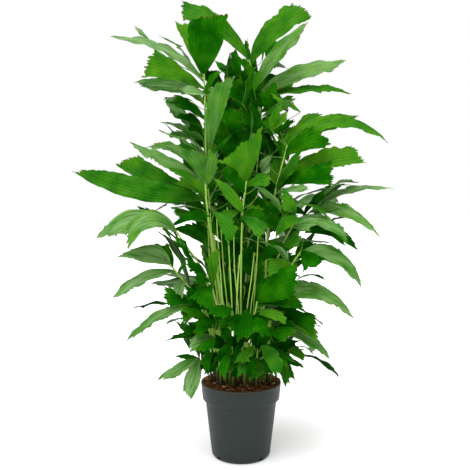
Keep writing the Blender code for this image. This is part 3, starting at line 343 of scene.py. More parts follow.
# Smaller leaflets of the dense middle, which the solids leave out: base and tip (across, up, depth), width,
# tilt, bow, side and tone, and the form of those that aren't wedges. Each hangs on a thin twig from the
# nearest stalk.
THICKET = (
    # crown, between the fans
    ((-3, 1122, -20), (-36, 1212, -10), 44, 66, 0.06, 1, "d"),
    ((18, 1111, 10), (-59, 1173, 20), 46, 60, 0.06, -1, "d"),
    ((48, 1116, -5), (18, 1206, 5), 40, 70, 0.05, 1, "d"),
    ((62, 1069, 10), (36, 1170, 30), 46, 66, 0.05, -1, "m"),
    ((39, 1087, -60), (62, 1164, -70), 34, 62, 0.05, 1, "m"),
    ((9, 1027, -40), (-36, 1122, -40), 78, 68, 0.06, 1, "d", "fan"),
    ((62, 1039, -30), (-6, 1128, -50), 72, 64, 0.06, -1, "d"),
    ((92, 1004, -20), (68, 1116, -20), 70, 66, 0.05, 1, "d"),
    ((140, 1027, 0), (68, 1072, -30), 50, 60, 0.06, -1, "d"),
    ((-9, 926, -60), (-42, 1051, -60), 82, 72, 0.05, -1, "d", "fan"),
    ((68, 938, -50), (0, 1039, -80), 92, 66, 0.06, 1, "d", "fan"),
    ((122, 950, -40), (62, 1027, -60), 60, 60, 0.06, -1, "d"),
    ((33, 873, -60), (-9, 968, -70), 70, 68, 0.05, 1, "d"),
    ((86, 980, -110), (125, 1060, -115), 30, 62, 0.04, 1, "b", "strap"),
    ((92, 974, -100), (148, 1024, -105), 30, 58, 0.05, -1, "b", "strap"),
    ((116, 968, -60), (166, 1010, -70), 34, 55, 0.06, 1, "d"),
    ((65, 1015, -60), (172, 1066, -60), 42, -50, 0.06, 1, "s"),
    ((175, 1027, -20), (80, 1051, -20), 44, 50, 0.05, 1, "m"),
    ((-6, 885, -20), (-39, 974, 0), 74, 70, 0.05, 1, "d"),
    ((-46, 890, 30), (-58, 1000, 20), 72, 72, 0.05, 1, "d"),
    ((-92, 860, 20), (-82, 955, 30), 66, 70, 0.05, -1, "m"),
    ((-24, 880, -60), (-60, 965, -50), 60, 66, 0.05, -1, "d"),
    ((112, 800, -40), (92, 900, -60), 76, 68, 0.05, 1, "m"),
    ((70, 850, -40), (100, 925, -70), 66, 66, 0.05, -1, "d"),
    ((140, 880, -40), (104, 960, -60), 60, 64, 0.05, 1, "m"),
    # left of the crown
    ((-101, 1075, -60), (-199, 1099, -50), 44, 52, 0.06, 1, "u"),
    ((-110, 1010, -30), (-217, 1069, -20), 50, 58, 0.08, 1, "d"),
    ((-116, 980, -20), (-193, 1027, 10), 46, 60, 0.06, -1, "d"),
    ((-104, 914, 40), (-163, 1010, 40), 62, 66, 0.06, 1, "d"),
    ((-113, 944, -70), (-223, 968, -80), 38, -46, 0.08, 1, "s", "tailed"),
    ((-116, 909, -40), (-211, 926, -60), 40, 50, 0.06, -1, "m"),
    ((-122, 831, 20), (-187, 909, 10), 62, 62, 0.06, 1, "m"),
    ((-74, 754, -20), (-104, 867, -10), 74, 70, 0.05, 1, "d"),
    ((-56, 796, 0), (-21, 891, 10), 70, 68, 0.05, -1, "d"),
    ((-110, 778, -80), (-200, 838, -100), 54, 60, 0.06, -1, "m"),
    # under the long left blades
    ((-104, 718, -50), (-187, 778, -50), 70, 62, 0.06, 1, "d"),
    ((-107, 701, -90), (-217, 724, -120), 50, 54, 0.07, 1, "m"),
    ((-110, 635, -60), (-175, 701, -60), 70, 62, 0.08, -1, "d"),
    ((-74, 659, -30), (-134, 742, -20), 70, 66, 0.06, 1, "d", "fan"),
    # middle
    ((-27, 735, 20), (-15, 830, 20), 74, 72, 0.05, 1, "k"),
    ((20, 740, 0), (24, 840, 0), 72, 72, 0.05, -1, "d"),
    ((-6, 655, 20), (4, 752, 20), 70, 70, 0.05, 1, "k"),
    ((50, 600, 20), (46, 700, 20), 70, 70, 0.05, 1, "k"),
    ((-10, 480, 20), (-4, 575, 20), 66, 70, 0.05, 1, "k"),
    ((6, 730, -190), (-89, 831, -200), 40, 66, 0.05, 1, "m", "lance"),
    ((9, 695, -150), (62, 748, -170), 46, 62, 0.05, 1, "b"),
    ((50, 778, -140), (80, 695, -150), 36, 70, 0.05, 1, "d"),
    ((-80, 730, -190), (-9, 638, -215), 58, 66, 0.06, 1, "m"),
    ((-27, 766, -40), (15, 867, -40), 74, 68, 0.05, 1, "d"),
    ((50, 671, -80), (104, 766, -90), 76, 66, 0.05, -1, "d", "fan"),
    ((-3, 635, 0), (-45, 724, 10), 70, 66, 0.05, 1, "d"),
    ((134, 671, -90), (62, 718, -100), 60, 62, 0.06, -1, "d"),
    ((163, 724, -120), (104, 796, -130), 64, 62, 0.06, 1, "m"),
    ((190, 668, -120), (326, 640, -130), 44, 54, 0.14, 1, "d"),
    ((104, 659, -140), (175, 730, -160), 54, 60, 0.06, 1, "m"),
    ((62, 582, -120), (134, 647, -130), 60, 60, 0.06, 1, "d"),
    ((80, 511, 0), (56, 618, 0), 62, 66, 0.05, -1, "d"),
    ((116, 606, -120), (193, 665, -150), 52, 58, 0.06, -1, "m"),
    ((163, 582, -100), (223, 647, -120), 48, 56, 0.08, 1, "d"),
    ((134, 540, -60), (181, 612, -70), 60, 62, 0.06, 1, "d"),
    ((-33, 570, 10), (-80, 653, 10), 72, 66, 0.06, -1, "d"),
    ((27, 540, 0), (-9, 629, 10), 72, 68, 0.05, 1, "d"),
    ((-74, 517, 40), (-96, 590, 40), 56, 66, 0.06, 1, "d"),
    ((146, 944, -40), (244, 1034, -40), 40, 56, 0.08, 1, "m"),
    ((-262, 1226, -10), (-326, 1274, -10), 20, 56, 0.06, 1, "u"),
    ((-39, 469, 0), (-80, 564, 0), 76, 66, 0.05, 1, "d", "fan"),
    ((62, 451, 0), (27, 540, 10), 72, 68, 0.05, -1, "d"),
    ((140, 469, -110), (223, 511, -130), 46, 56, 0.10, 1, "d"),
    # behind the bunch of stalks
    ((-78, 430, 60), (-72, 545, 64), 72, 72, 0.04, 1, "k"),
    ((-38, 425, 66), (-30, 540, 66), 74, 72, 0.04, -1, "k"),
    ((-34, 540, 60), (-28, 650, 60), 72, 72, 0.04, 1, "k"),
    ((10, 425, 62), (16, 530, 62), 70, 72, 0.04, 1, "k"),
    # low front cluster of broad leaflets
    ((-27, 440, -150), (-89, 386, -180), 56, 62, 0.12, 1, "d"),
    ((15, 420, -140), (-39, 372, -190), 58, 60, 0.12, -1, "d"),
    ((12, 436, -150), (18, 345, -200), 62, 64, 0.12, 1, "d"),
    ((45, 416, -150), (68, 320, -190), 54, 58, 0.12, -1, "d"),
    ((39, 332, -150), (-6, 264, -180), 46, 62, 0.10, 1, "m"),
    ((62, 332, -130), (125, 243, -170), 56, 62, 0.08, 1, "m", "strap"),
    ((-33, 344, -150), (-62, 264, -170), 50, 64, 0.10, 1, "d"),
    ((-9, 332, -130), (-9, 255, -150), 44, 66, 0.08, -1, "d"),
    ((15, 291, -140), (21, 240, -150), 30, 70, 0.06, 1, "d"),
    ((-80, 350, -130), (-119, 279, -150), 48, 60, 0.12, 1, "d"),
    ((-56, 374, -110), (-27, 320, -130), 56, 66, 0.08, 1, "d"),
    ((-74, 404, -130), (-151, 362, -160), 50, 58, 0.12, -1, "d"),
    ((62, 404, -110), (134, 451, -130), 56, 60, 0.10, 1, "d"),
    ((86, 368, -120), (163, 332, -140), 52, 56, 0.12, -1, "d"),
    ((33, 368, -90), (92, 416, -100), 60, 62, 0.08, 1, "d"),
    ((-104, 439, -90), (-181, 481, -100), 60, 60, 0.10, 1, "d"),
    ((104, 416, -60), (163, 469, -60), 56, 58, 0.08, -1, "d"),
    ((80, 320, -100), (146, 273, -120), 30, 50, 0.12, 1, "d", "lance"),
    ((86, 315, -90), (163, 255, -100), 26, 46, 0.12, -1, "d", "lance"),
    ((-104, 315, -90), (-163, 362, -80), 40, 50, 0.10, 1, "d"),
    ((-27, 410, 0), (27, 481, 0), 66, 66, 0.06, 1, "d"),
    ((-74, 315, -140), (-92, 236, -165), 40, 64, 0.08, 1, "k"),
    ((-27, 320, -150), (-66, 240, -170), 36, 62, 0.08, -1, "d"),
    ((33, 310, -150), (30, 232, -170), 38, 64, 0.08, 1, "k"),
    ((80, 315, -140), (88, 240, -160), 38, 62, 0.08, 1, "k"),
    ((-3, 300, -130), (-18, 225, -150), 34, 64, 0.06, 1, "k"),
    ((-86, 335, -120), (-112, 252, -140), 34, 60, 0.08, -1, "d"),
    ((58, 330, -120), (70, 236, -130), 40, 62, 0.06, 1, "k"),
    ((-92, 469, -40), (-146, 534, -30), 60, 60, 0.08, -1, "d"),
)

# Young leaves of the front, still rolled up as bare spears: foot (across, depth) and points (across, up,
# depth). They are part of one frond's piece, and as thick as this part of a full stalk.
SPEAR_FROND = "frond_middle_low"
SPEAR = 0.72
SPEARS = (
    ((-34, -78), ((-32, 330, -104), (-27, 436, -120), (-38, 650, -134), (-41, 742, -132))),
    ((-50, -56), ((-50, 330, -86), (-53, 436, -108), (-68, 632, -122), (-73, 716, -120))),
    ((-52, -40), ((-54, 330, -66), (-62, 469, -88), (-84, 632, -98), (-92, 726, -98))),
    ((12, -58), ((14, 330, -88), (17, 430, -112), (31, 534, -118), (39, 608, -116))),
    ((30, -72), ((29, 330, -92), (28, 430, -104), (43, 538, -108), (49, 606, -106))),
    ((32, -56), ((34, 330, -78), (37, 430, -94), (48, 600, -102), (52, 684, -100))),
    ((0, -54), ((-3, 330, -80), (-8, 436, -118), (-19, 560, -126), (-22, 660, -124))),
    ((-30, -56), ((-34, 330, -70), (-40, 440, -84), (-52, 560, -94), (-60, 690, -92))),
    ((-66, -30), ((-72, 330, -46), (-80, 440, -60), (-92, 560, -74), (-99, 690, -80))),
)

# The first number of a leaflet's seed says where it comes from: below these it is one of the solids', and
# these are for the table of small leaflets, and for the rules round the stalks, behind them and sideways.
TABLE_SEED = 5
ROUND_SEED = 6
SCREEN_SEED = 7
SIDE_SEED = 8

# A twig's radius, its values for the stalks' material, where a tone far below 0 makes it a dull green, the
# lowest place on a stalk where one may start, and how far below its leaflet it starts for choice.
TWIG = 0.0009
TWIG_VALUES = (-2.6, 0.66, 0.0, 0.0)
TWIG_LOWEST = -0.6
TWIG_BELOW = 0.035

# How often a small leaflet of the table and one by rule may try for a clear place, how far a try sways and
# lifts its tip in mm and turns it in degrees, times the root of the try's number, and how far inside the
# solids' box one by rule stays.
THICKET_TRIES = 26
RULE_TRIES = 24
TRY_SWAY = 12
TRY_LIFT = 4
TRY_TILT = 5
BOX_MARGIN = 0.004

# Leaflets by rule round the stalks: how many to a stalk of the front or a side and to one of the back, the
# part of the stalk where they start (from, and for how long), their widths in mm and their lengths.
ROUND_DRAWN = 8
ROUND_BACK = 7
ROUND_FROM = 0.36
ROUND_ALONG = 0.62
ROUND_WIDTHS = (42, 70)
ROUND_LENGTHS = (0.09, 0.20)
ROUND_TONES = "dkkm"

# Dark leaflets in rows behind the middle, whose dark tones are painted shade: the lowest row, the highest,
# the step from one to the next and from leaflet to leaflet, half a row's length by height, depths, widths and
# lengths. All in mm.
SCREEN_LOW = 300
SCREEN_HIGH = 1140
SCREEN_STEP = 62
SCREEN_ASIDE = SCREEN_STEP * 0.85
SCREEN_HALF = ((400, 700, 1150), (105, 135, 85))
SCREEN_DEPTHS = (20, 130)
SCREEN_WIDTHS = (58, 84)
SCREEN_LENGTHS = (95, 150)
SCREEN_TONES = "kkdmk"

# Leaflets in rows inside the clump that face sideways: the lowest row, the highest, the step from one to the
# next and from leaflet to leaflet, from front to back, how far out by height, widths in mm and lengths.
SIDE_LOW = 0.40
SIDE_HIGH = 1.16
SIDE_STEP = 0.070
SIDE_ASIDE = SIDE_STEP * 0.75
SIDE_FRONT = -0.105
SIDE_BACK = 0.175
SIDE_OUT = ((0.42, 0.7, 1.05), (0.07, 0.11, 0.05))
SIDE_WIDTHS = (54, 80)
SIDE_LENGTHS = (0.095, 0.155)
SIDE_TONES = "dkmds"

# Gaps that stay open, as seen from the front: from (across, up) to (across, up).
OPEN = (
    ((-157, 543), (-100, 662)),
    ((-300, 493), (-165, 580)),
)

# Where the bunch of bare stalks shows in front (two corners as seen), and how far back nothing hides them.
STALKS_SHOWN = ((-101, 390), (58, 640))
STALKS_BACK = 0.03

# A leaflet's grid: the step along it and the columns to a tooth, for one of the solids that is wide enough
# and for the others. Leaflets near the axis and below this height get painted shade: their green is darkened.
LEAF_STEP = 0.009
SMALL_STEP = 0.014
LEAF_COLUMNS = 6
SMALL_COLUMNS = 4
WIDE_LEAF = 0.045
SHADE_WITHIN = 0.17
SHADE_BELOW = 0.66

# The pitch of the compost's lumps, its crumbs and its tones, how many waves make them, and its top's grid.
LUMP_PITCH = 0.014
CRUMB_PITCH = 0.0055
TONE_PITCH = 0.011
LUMP_WAVES = 26
TONE_WAVES = 20
COMPOST_SIDES = 220
COMPOST_RINGS = 78

# The room's light on the plant: all round, more from beyond the plant, and more from the ceiling, which sets
# in from one height of a unit vector to the other. The key light shines along KEY_WAY.
ROOM_LIGHT = 0.42
ROOM_BEYOND = 0.10
CEILING_LIGHT = 1.35
CEILING_FROM = 0.15
CEILING_FULL = 0.95
KEY_WAY = (0.30, 0.62, -1.55)
FLOOR_HALF = 30.0

# Where each run of random numbers starts: for the fronds of the back, the leaflets by rule, a leaflet's fine
# shape, and the compost's lumps, crumbs, tones, chips and fibres.
BACK_DRAW = 400
ROUND_DRAW = 9
SCREEN_DRAW = 8
SIDE_DRAW = 12
LEAF_DRAW = 7
LUMP_DRAW = 21
CRUMB_DRAW = 22
TONE_DRAW = 23
CHIP_DRAW = 31
FIBRE_DRAW = 32

# The order of a frond's two materials.
LEAF_MATERIAL = 0
STALK_MATERIAL = 1

# The green that some leaflets lean to, the brown of dry ends, and where on a leaflet those start. How
# strongly leaf wax and pot plastic bend light.
WARM_GREEN = 0x3E7A00
DRY_BROWN = 0x6B5B24
DRY_FROM = 0.982
WAX_IOR = 1.42
PLASTIC_IOR = 1.49


def unit(v):
    """The vector at length one."""
    return v / np.linalg.norm(v)


def seen(across, up, depth):
    """Where a point of the front elevation lies, at its depth, in metres."""
    tilt = math.sin(SIGHT_PITCH), math.cos(SIGHT_PITCH)
    rise = up * MM - SIGHT_HEIGHT
    drawn = np.array((across * MM, rise * tilt[0], SIGHT_HEIGHT + rise * tilt[1]))
    return EYE + (drawn - EYE) * (depth * MM - EYE[1]) / (drawn[1] - EYE[1])


def through(points, s):
    """A Catmull-Rom curve through the points, read at s, which counts in points."""
    p = np.vstack((2 * points[0] - points[1], points, 2 * points[-1] - points[-2]))
    i = np.clip(np.floor(s).astype(int), 0, len(points) - 2)
    t = (s - i)[:, None]
    a, b, c, d = p[i], p[i + 1], p[i + 2], p[i + 3]
    bend, swing = 2 * a - 5 * b + 4 * c - d, 3 * b - 3 * c + d - a
    return 0.5 * (2 * b + (c - a) * t + bend * t**2 + swing * t**3)


def rows_unit(v):
    """Each row at length one."""
    return v / np.linalg.norm(v, axis=1)[:, None]


def round_turns(sides):
    """Even turns round a circle, in radians."""
    return np.arange(sides) * 2 * math.pi / sides


class Stalk:
    """A frond's stalk: an upright foot in the compost, then a smooth curve through its points."""

    def __init__(self, foot, points):
        self.foot = np.array(foot) * MM
        self.points = points
        self.start = np.array((*self.foot, soil_height(*self.foot) + STALK_START))

    def line(self, s):
        """The centre line at s: 0 is the first stalk point, and -1 is where it leaves the compost."""
        return through(np.vstack((self.start, self.points)), s + 1)

    def radius(self, s):
        """The radius at s, from the foot's to the top's."""
        t = np.clip((s + 1) / len(self.points), 0, 1)
        return STALK_FOOT + (STALK_TOP - STALK_FOOT) * t**0.8


class Blade:
    """A leaflet: a jagged wedge that leaves its stalk at the root and bows over to its tip."""

    def __init__(self, form, place, root, tip, width, tilt, bow, side, front, seed):
        self.form = form
        self.place = place
        self.root = root
        self.tip = tip
        self.width = width * MM
        self.tilt = math.radians(tilt)
        self.bow = bow
        self.side = side
        self.front = front
        self.seed = seed
        draw = np.random.default_rng(seed)
        self.phase = draw.uniform(0, 2 * math.pi, 3)
        self.twist = math.radians(draw.uniform(-16, 16))
        self.teeth = draw.uniform(0.45, 1.25, 9)
        self.skew = draw.uniform(-0.05, 0.05, 9)
        self.cup = draw.uniform(0.22, 0.40)
        self.tone = None
        self.twig = None

    def length(self):
        return float(np.linalg.norm(self.tip - self.root))

    def tooth_count(self):
        """Four points on a wide end, three on a narrow or short one."""
        return 4 if self.width > 0.064 and self.length() > 0.15 else 3

    def end_row(self):
        """Where the teeth and the notches between them lie across the end, and how deep each one is."""
        n = 2 * self.tooth_count() - 1
        across = np.linspace(-1, 1, n)
        across[1:-1] += self.skew[1:n - 1]
        notch = FORMS[self.form][2] * MM / self.length()
        low, high = notch * self.teeth[:n], notch * 0.25 * (self.teeth[:n] - 0.45)
        depth = np.where(np.arange(n) % 2 == 1, low, high)
        return across, depth

    def reach(self, v):
        """The ray at v as a part of the length: the short edge stays behind, and the end is jagged."""
        behind = FORMS[self.form][0] * ((1 - v * self.side) / 2) ** 1.25
        return 1 - behind - np.interp(v, *self.end_row())

    def surface(self, u, v, short=0.0, raised=0.0):
        """The blade's middle sheet at u, 0 at the root to 1 at the jagged end, and v, -1 to 1 across it.

        short is taken off the ray as a part of the length, and raised lifts the sheet off itself.
        """
        chord = self.tip - self.root
        size = self.length()
        lift = np.array((0, 0, math.cos(self.tilt))) + math.sin(self.tilt) * self.front
        rise = np.array((0, 0, 1.0)) + 0.4 * lift
        rise = unit(rise - chord * (rise @ chord) / size**2)
        a = (u * self.reach(v) - short)[:, None]
        line = self.root + chord * a + rise * size * self.bow * 4 * a * (1 - a)
        run = rows_unit(chord + rise * size * self.bow * 4 * (1 - 2 * a))
        up = rows_unit(lift - run * (run @ lift)[:, None])
        across = np.cross(run, up)
        turn = (self.twist * (a[:, 0] - 0.4))[:, None]
        side = across * np.cos(turn) + up * np.sin(turn)
        normal = up * np.cos(turn) - across * np.sin(turn)
        _, fill, _, taper = FORMS[self.form]
        half = self.width / 2
        base = ROOT_WIDTH / self.width
        spread = base + (1 - base) * (1 - (1 - u * 0.92) ** fill) / (1 - 0.08**fill)
        spread = spread * (1 - taper * u**3)
        fold = self.cup * np.abs(v) * spread * (0.9 - 1.15 * u)
        wave = 0.10 * np.sin(4.2 * u + 2.1 * v + self.phase[0]) * u * (0.3 + 0.7 * v * v)
        return line + side * (half * v * spread)[:, None] + normal * (half * (fold + wave) + raised)[:, None]


def soil_height(x, y):
    """The compost's top: a low crown inside the rim."""
    r = math.hypot(x, y) / RIM_RADIUS
    return SOIL_EDGE + SOIL_CROWN * (1 - r * r)


def sheet(blade, start=0.0):
    """A coarse sheet of the blade: a two-point root, rows of three points, and the jagged end row."""
    cuts = [0.45]
    if blade.length() > 0.20:
        cuts = [0.34, 0.70]
    if blade.length() > 0.32:
        cuts = [0.26, 0.52, 0.80]
    rows = len(cuts)
    ends, _ = blade.end_row()
    n = len(ends)
    u = np.concatenate(((start, start), np.repeat(cuts, 3), np.ones(n)))
    v = np.concatenate(((-1, 1), np.tile((-1.0, 0.0, 1.0), rows), ends))
    faces = [(0, 3, 2), (0, 1, 3), (1, 4, 3)]
    for row in range(rows - 1):
        for col in (0, 1):
            a = 2 + row * 3 + col
            faces += [(a, a + 1, a + 4), (a, a + 4, a + 3)]
    last = 3 * rows - 1
    tip = last + 3
    faces += [(last, tip + 1, tip), (last, last + 1, tip + 1)]
    faces += [(last + 1, tip + k + 1, tip + k) for k in range(1, n - 2)]
    faces += [(last + 1, last + 2, tip + n - 2), (last + 2, tip + n - 1, tip + n - 2)]
    rim = [0, 1] + [4 + 3 * row for row in range(rows)] + [tip + k for k in range(n - 1, -1, -1)]
    rim += [2 + 3 * row for row in range(rows - 1, -1, -1)]
    return blade.surface(u, v), np.array(faces), rim


def thicken(points, faces, rim, thickness):
    """A closed solid on the sheet: it is laid out again on both sides and walled round its rim."""
    normals = np.zeros_like(points)
    a, b, c = points[faces[:, 0]], points[faces[:, 1]], points[faces[:, 2]]
    across = np.cross(b - a, c - a)
    for corner in range(3):
        np.add.at(normals, faces[:, corner], across)
    normals = rows_unit(normals) * (np.asarray(thickness) / 2)
    n = len(points)
    walls = []
    for i, j in zip(rim, rim[1:] + rim[:1]):
        walls += [(j, i, i + n), (j, i + n, j + n)]
    return np.vstack((points + normals, points - normals)), np.vstack((faces, faces[:, ::-1] + n, walls))


def tube(centres, radii, sides):
    """A closed tube round the centres, with the rings turned as little as they can be."""
    run = rows_unit(np.gradient(centres, axis=0))
    up = np.array((1.0, 0, 0))
    points = []
    turn = round_turns(sides)
    for centre, way, radius in zip(centres, run, radii):
        up = unit(up - way * (up @ way))
        side = np.cross(way, up)
        points.append(centre + radius * (np.cos(turn)[:, None] * up + np.sin(turn)[:, None] * side))
    points = np.vstack(points)
    faces = []
    for row in range(len(centres) - 1):
        for k in range(sides):
            a, b = row * sides + k, row * sides + (k + 1) % sides
            faces += [(a, b, b + sides), (a, b + sides, a + sides)]
    end = (len(centres) - 1) * sides
    faces += [(0, k + 1, k) for k in range(1, sides - 1)]
    faces += [(end, end + k, end + k + 1) for k in range(1, sides - 1)]
    return points, np.array(faces)


def stalk_rings(stalk, places):
    """The stalk's centres and radii: the upright foot, then a ring at each of the places along it."""
    places = np.array(places)
    foot = stalk.start - np.array((0, 0, HOLE_DEPTH))
    centres = np.vstack((foot, stalk.start, stalk.line(places)))
    radii = np.concatenate(([STALK_FOOT, STALK_FOOT], stalk.radius(places)))
    return centres, radii


def even_places(stalk, per_span):
    """Places set out evenly along the stalk above its foot."""
    count = len(stalk.points)
    return np.linspace(-1, count - 1, per_span * count + 1)[1:]


def back_feet(taken):
    """Feet for the fronds of the back: places of a sunflower's spiral there that no other foot is near."""
    feet = []
    for k in range(FEET_FIRST, FEET_LAST + 1):
        turn, far = math.radians(k * GOLDEN), FEET_SPACING * math.sqrt(k)
        foot = (far * math.cos(turn), far * math.sin(turn))
        if far < FEET_OUT and foot[1] > FEET_FRONT:
            if all(math.dist(foot, other) > FEET_APART for other in taken + feet):
                feet.append(foot)
    return feet[:BACK_COUNT]


def back_fronds(taken):
    """The fronds of the back by rule: a node above and outside each foot, and leaflets in turn round it."""
    made = []
    for k, foot in enumerate(back_feet(taken)):
        draw = np.random.default_rng(BACK_DRAW + k)
        foot = np.array(foot) * MM
        heading = math.atan2(foot[1] + 0.035, foot[0] * 0.8)
        out = np.array((math.cos(heading) * BACK_ACROSS, math.sin(heading)))
        high = BACK_LOW + (BACK_HIGH - BACK_LOW) * ((k * 0.618 + 0.35) % 1)
        far = BACK_OUT * (1.25 - 0.6 * high)
        node = np.array((*(foot + out * far), high))
        points = [np.array((*(foot + (node[:2] - foot) * w), BACK_START + (high - BACK_START) * h))
                  for w, h in BACK_SHARES]
        leaflets = []
        for j, (form, place, aside, rise, breadth) in enumerate(BACK_LEAFLETS):
            fan = heading + math.radians(aside + draw.uniform(-10, 10))
            length = draw.uniform(*BACK_LENGTHS)
            slope = math.radians(rise + draw.uniform(-8, 8))
            flat = math.cos(slope)
            way = np.array((math.cos(fan) * 0.75 * flat, math.sin(fan) * flat, math.sin(slope)))
            width = draw.uniform(*BACK_WIDTHS) * breadth
            tilt, bow = draw.uniform(20, 60), draw.uniform(0.06, 0.16)
            leaflets.append((form, place, way * length, width, tilt, bow, 1 - 2 * (j % 2)))
        made.append((f"frond_back_{k + 1:02d}", foot / MM, points, heading, leaflets))
    return made


def set_out():
    """All stalks and leaflets as drawn: a list of name, stalk and blades."""
    plan = []
    for index, (name, foot, points, leaflets) in enumerate(DRAWN):
        leaves = [(("eye", seen(*leaf[2:5])), leaf[0], leaf[1], *leaf[5:], (1, index, j))
                  for j, leaf in enumerate(leaflets)]
        plan.append((name, Stalk(foot, [seen(*p) for p in points]), leaves))
    for index, (foot, top, tips) in enumerate(SUCKERS):
        middle = seen((foot[0] + top[0]) / 2, (SUCKER_FOOT + top[1]) / 2, (foot[1] + top[2]) / 2)
        leaves = [(("eye", seen(*tip)), "wedge", 0.8 + 0.06 * j, SUCKER_WIDTH, SUCKER_TILT, SUCKER_BOW,
                   1 - 2 * (j % 2), (2, index, j)) for j, tip in enumerate(tips)]
        plan.append((f"sucker_{index + 1}", Stalk(foot, [middle, seen(*top)]), leaves))
    taken = [row[1] for row in DRAWN] + [row[0] for row in SUCKERS]
    for index, (name, foot, points, heading, leaflets) in enumerate(back_fronds(taken)):
        leaves = [(("out", leaf[2], heading), leaf[0], leaf[1], *leaf[3:], (3, index, j))
                  for j, leaf in enumerate(leaflets)]
        plan.append((name, Stalk(foot, points), leaves))
    return plan


def clear_stalks(plan):
    """Moves each stalk a little, mostly in depth, until it passes all earlier ones with room to spare."""
    placed = np.zeros((0, 4))
    for name, stalk, _ in plan:
        drawn = np.array(stalk.points)
        weight = np.minimum(1.0, 0.55 * np.arange(1, len(drawn) + 1))[:, None]
        for k in range(STALK_TRIES):
            turn, far = TRY_TURN * k, 5 * MM * math.sqrt(k)
            shift = np.array((0.4 * far * math.sin(turn), far * math.cos(turn), 0))
            stalk.points = drawn + weight * shift
            s = np.linspace(-1, len(drawn) - 1, 40 * len(drawn))
            line = stalk.line(s)
            here = np.column_stack((line, stalk.radius(s)))
            if len(placed) == 0:
                break
            far_apart = np.linalg.norm(line[:, None, :] - placed[None, :, :3], axis=2)
            room = STALK_ROOM_MORE * np.clip((line[:, 2] - STALK_ROOM_FROM) / STALK_ROOM_SPAN, 0, 1)
            room = STALK_ROOM + room
            if (far_apart > here[:, 3:] + placed[:, 3] + room[:, None]).all():
                break
        else:
            raise RuntimeError(f"{name}: its stalk crosses another")
        placed = np.vstack((placed, here))


def hits(tree, box, others):
    """Whether a tree touches any of the others whose boxes it meets."""
    for other, other_box in others:
        if (box[0] <= other_box[1]).all() and (other_box[0] <= box[1]).all():
            if tree.overlap(other):
                return True
    return False


def bvh(points, faces):
    """A tree for overlap tests, and the box of its points."""
    return BVHTree.FromPolygons(points.tolist(), faces.tolist()), (points.min(0), points.max(0))


def clear_blades(plan):
    """Bends each leaflet a little until it is clear of the stalks, the pot and all earlier leaflets."""
    stalks = []
    for name, stalk, _ in plan:
        centres, radii = stalk_rings(stalk, even_places(stalk, COARSE_RINGS))
        stalks.append((name, bvh(*tube(centres, radii * STALK_KEPT + STALK_KEPT_MORE, COARSE_SIDES))))
    past_rim = RIM_RADIUS + 0.003
    keep_off = [(0.001, RIM_HEIGHT + 0.016), (0.05, RIM_HEIGHT + 0.015), (0.09, RIM_HEIGHT + 0.010),
                (past_rim, RIM_HEIGHT + 0.004), (past_rim, 0.16), (0.10, 0.001)]
    points, (walls, top, low) = turned(keep_off, 24)
    pot = [bvh(points, np.vstack((walls[:, :3], walls[:, [0, 2, 3]], top, low)))]
    placed = []
    made = []
    for name, stalk, leaves in plan:
        blades = []
        own = []
        others = pot + [tree for other, tree in stalks if other != name] + placed
        roots = []
        for goal, form, place, width, tilt, bow, side, seed in leaves:
            place = float(place)
            while any(math.dist(stalk.line(np.array([place]))[0], near) < ROOT_STEP for near in roots):
                place -= 0.02
            root = stalk.line(np.array([place]))[0]
            roots.append(root)
            if goal[0] == "eye":
                tip, front = goal[1], np.array((0, -1.0, 0))
                line_out = unit(tip - EYE)
            else:
                tip, front = root + goal[1], np.array((math.cos(goal[2]), math.sin(goal[2]), 0))
                line_out = np.array((-front[1], front[0], 0))
            chord = tip - root
            first = line_out - 0.6 * unit(chord) * (unit(chord) @ line_out)
            second = unit(np.cross(unit(chord), first))
            for k in range(BLADE_TRIES):
                turn, far = TRY_TURN * k, math.sqrt(k)
                sway = first * 11 * MM * far * math.cos(turn) + second * 3 * MM * far * math.sin(1.7 * turn)
                turned_by = TRY_TILT * far * math.sin(turn)
                blade = Blade(form, place, root, tip + sway, width, tilt + turned_by, bow, side, front, seed)
                points, faces, rim = sheet(blade)
                tree, box = bvh(*thicken(points, faces, rim, SPARE))
                outer, outer_faces, outer_rim = sheet(blade, 0.06)
                outer_tree, outer_box = bvh(*thicken(outer, outer_faces, outer_rim, SPARE * 0.6))
                if not hits(tree, box, others) and not hits(outer_tree, outer_box, own):
                    break
            else:
                continue
            blades.append(blade)
            own.append((outer_tree, outer_box))
            placed.append((tree, box))
        made.append((name, stalk, blades))
    return made


def nearest_stalk(stalks, base):
    """Which of the stalks comes nearest to a point a little below the base, and that place on it."""
    best = None
    for index, stalk in enumerate(stalks):
        s = np.linspace(TWIG_LOWEST, len(stalk.points) - 1, 60)
        line = stalk.line(s)
        off = line - base
        far = np.hypot(off[:, 0], off[:, 1]) + np.abs(off[:, 2] + TWIG_BELOW)
        near = int(far.argmin())
        if best is None or far[near] < best[0]:
            best = far[near], index, line[near]
    return best[1], best[2]


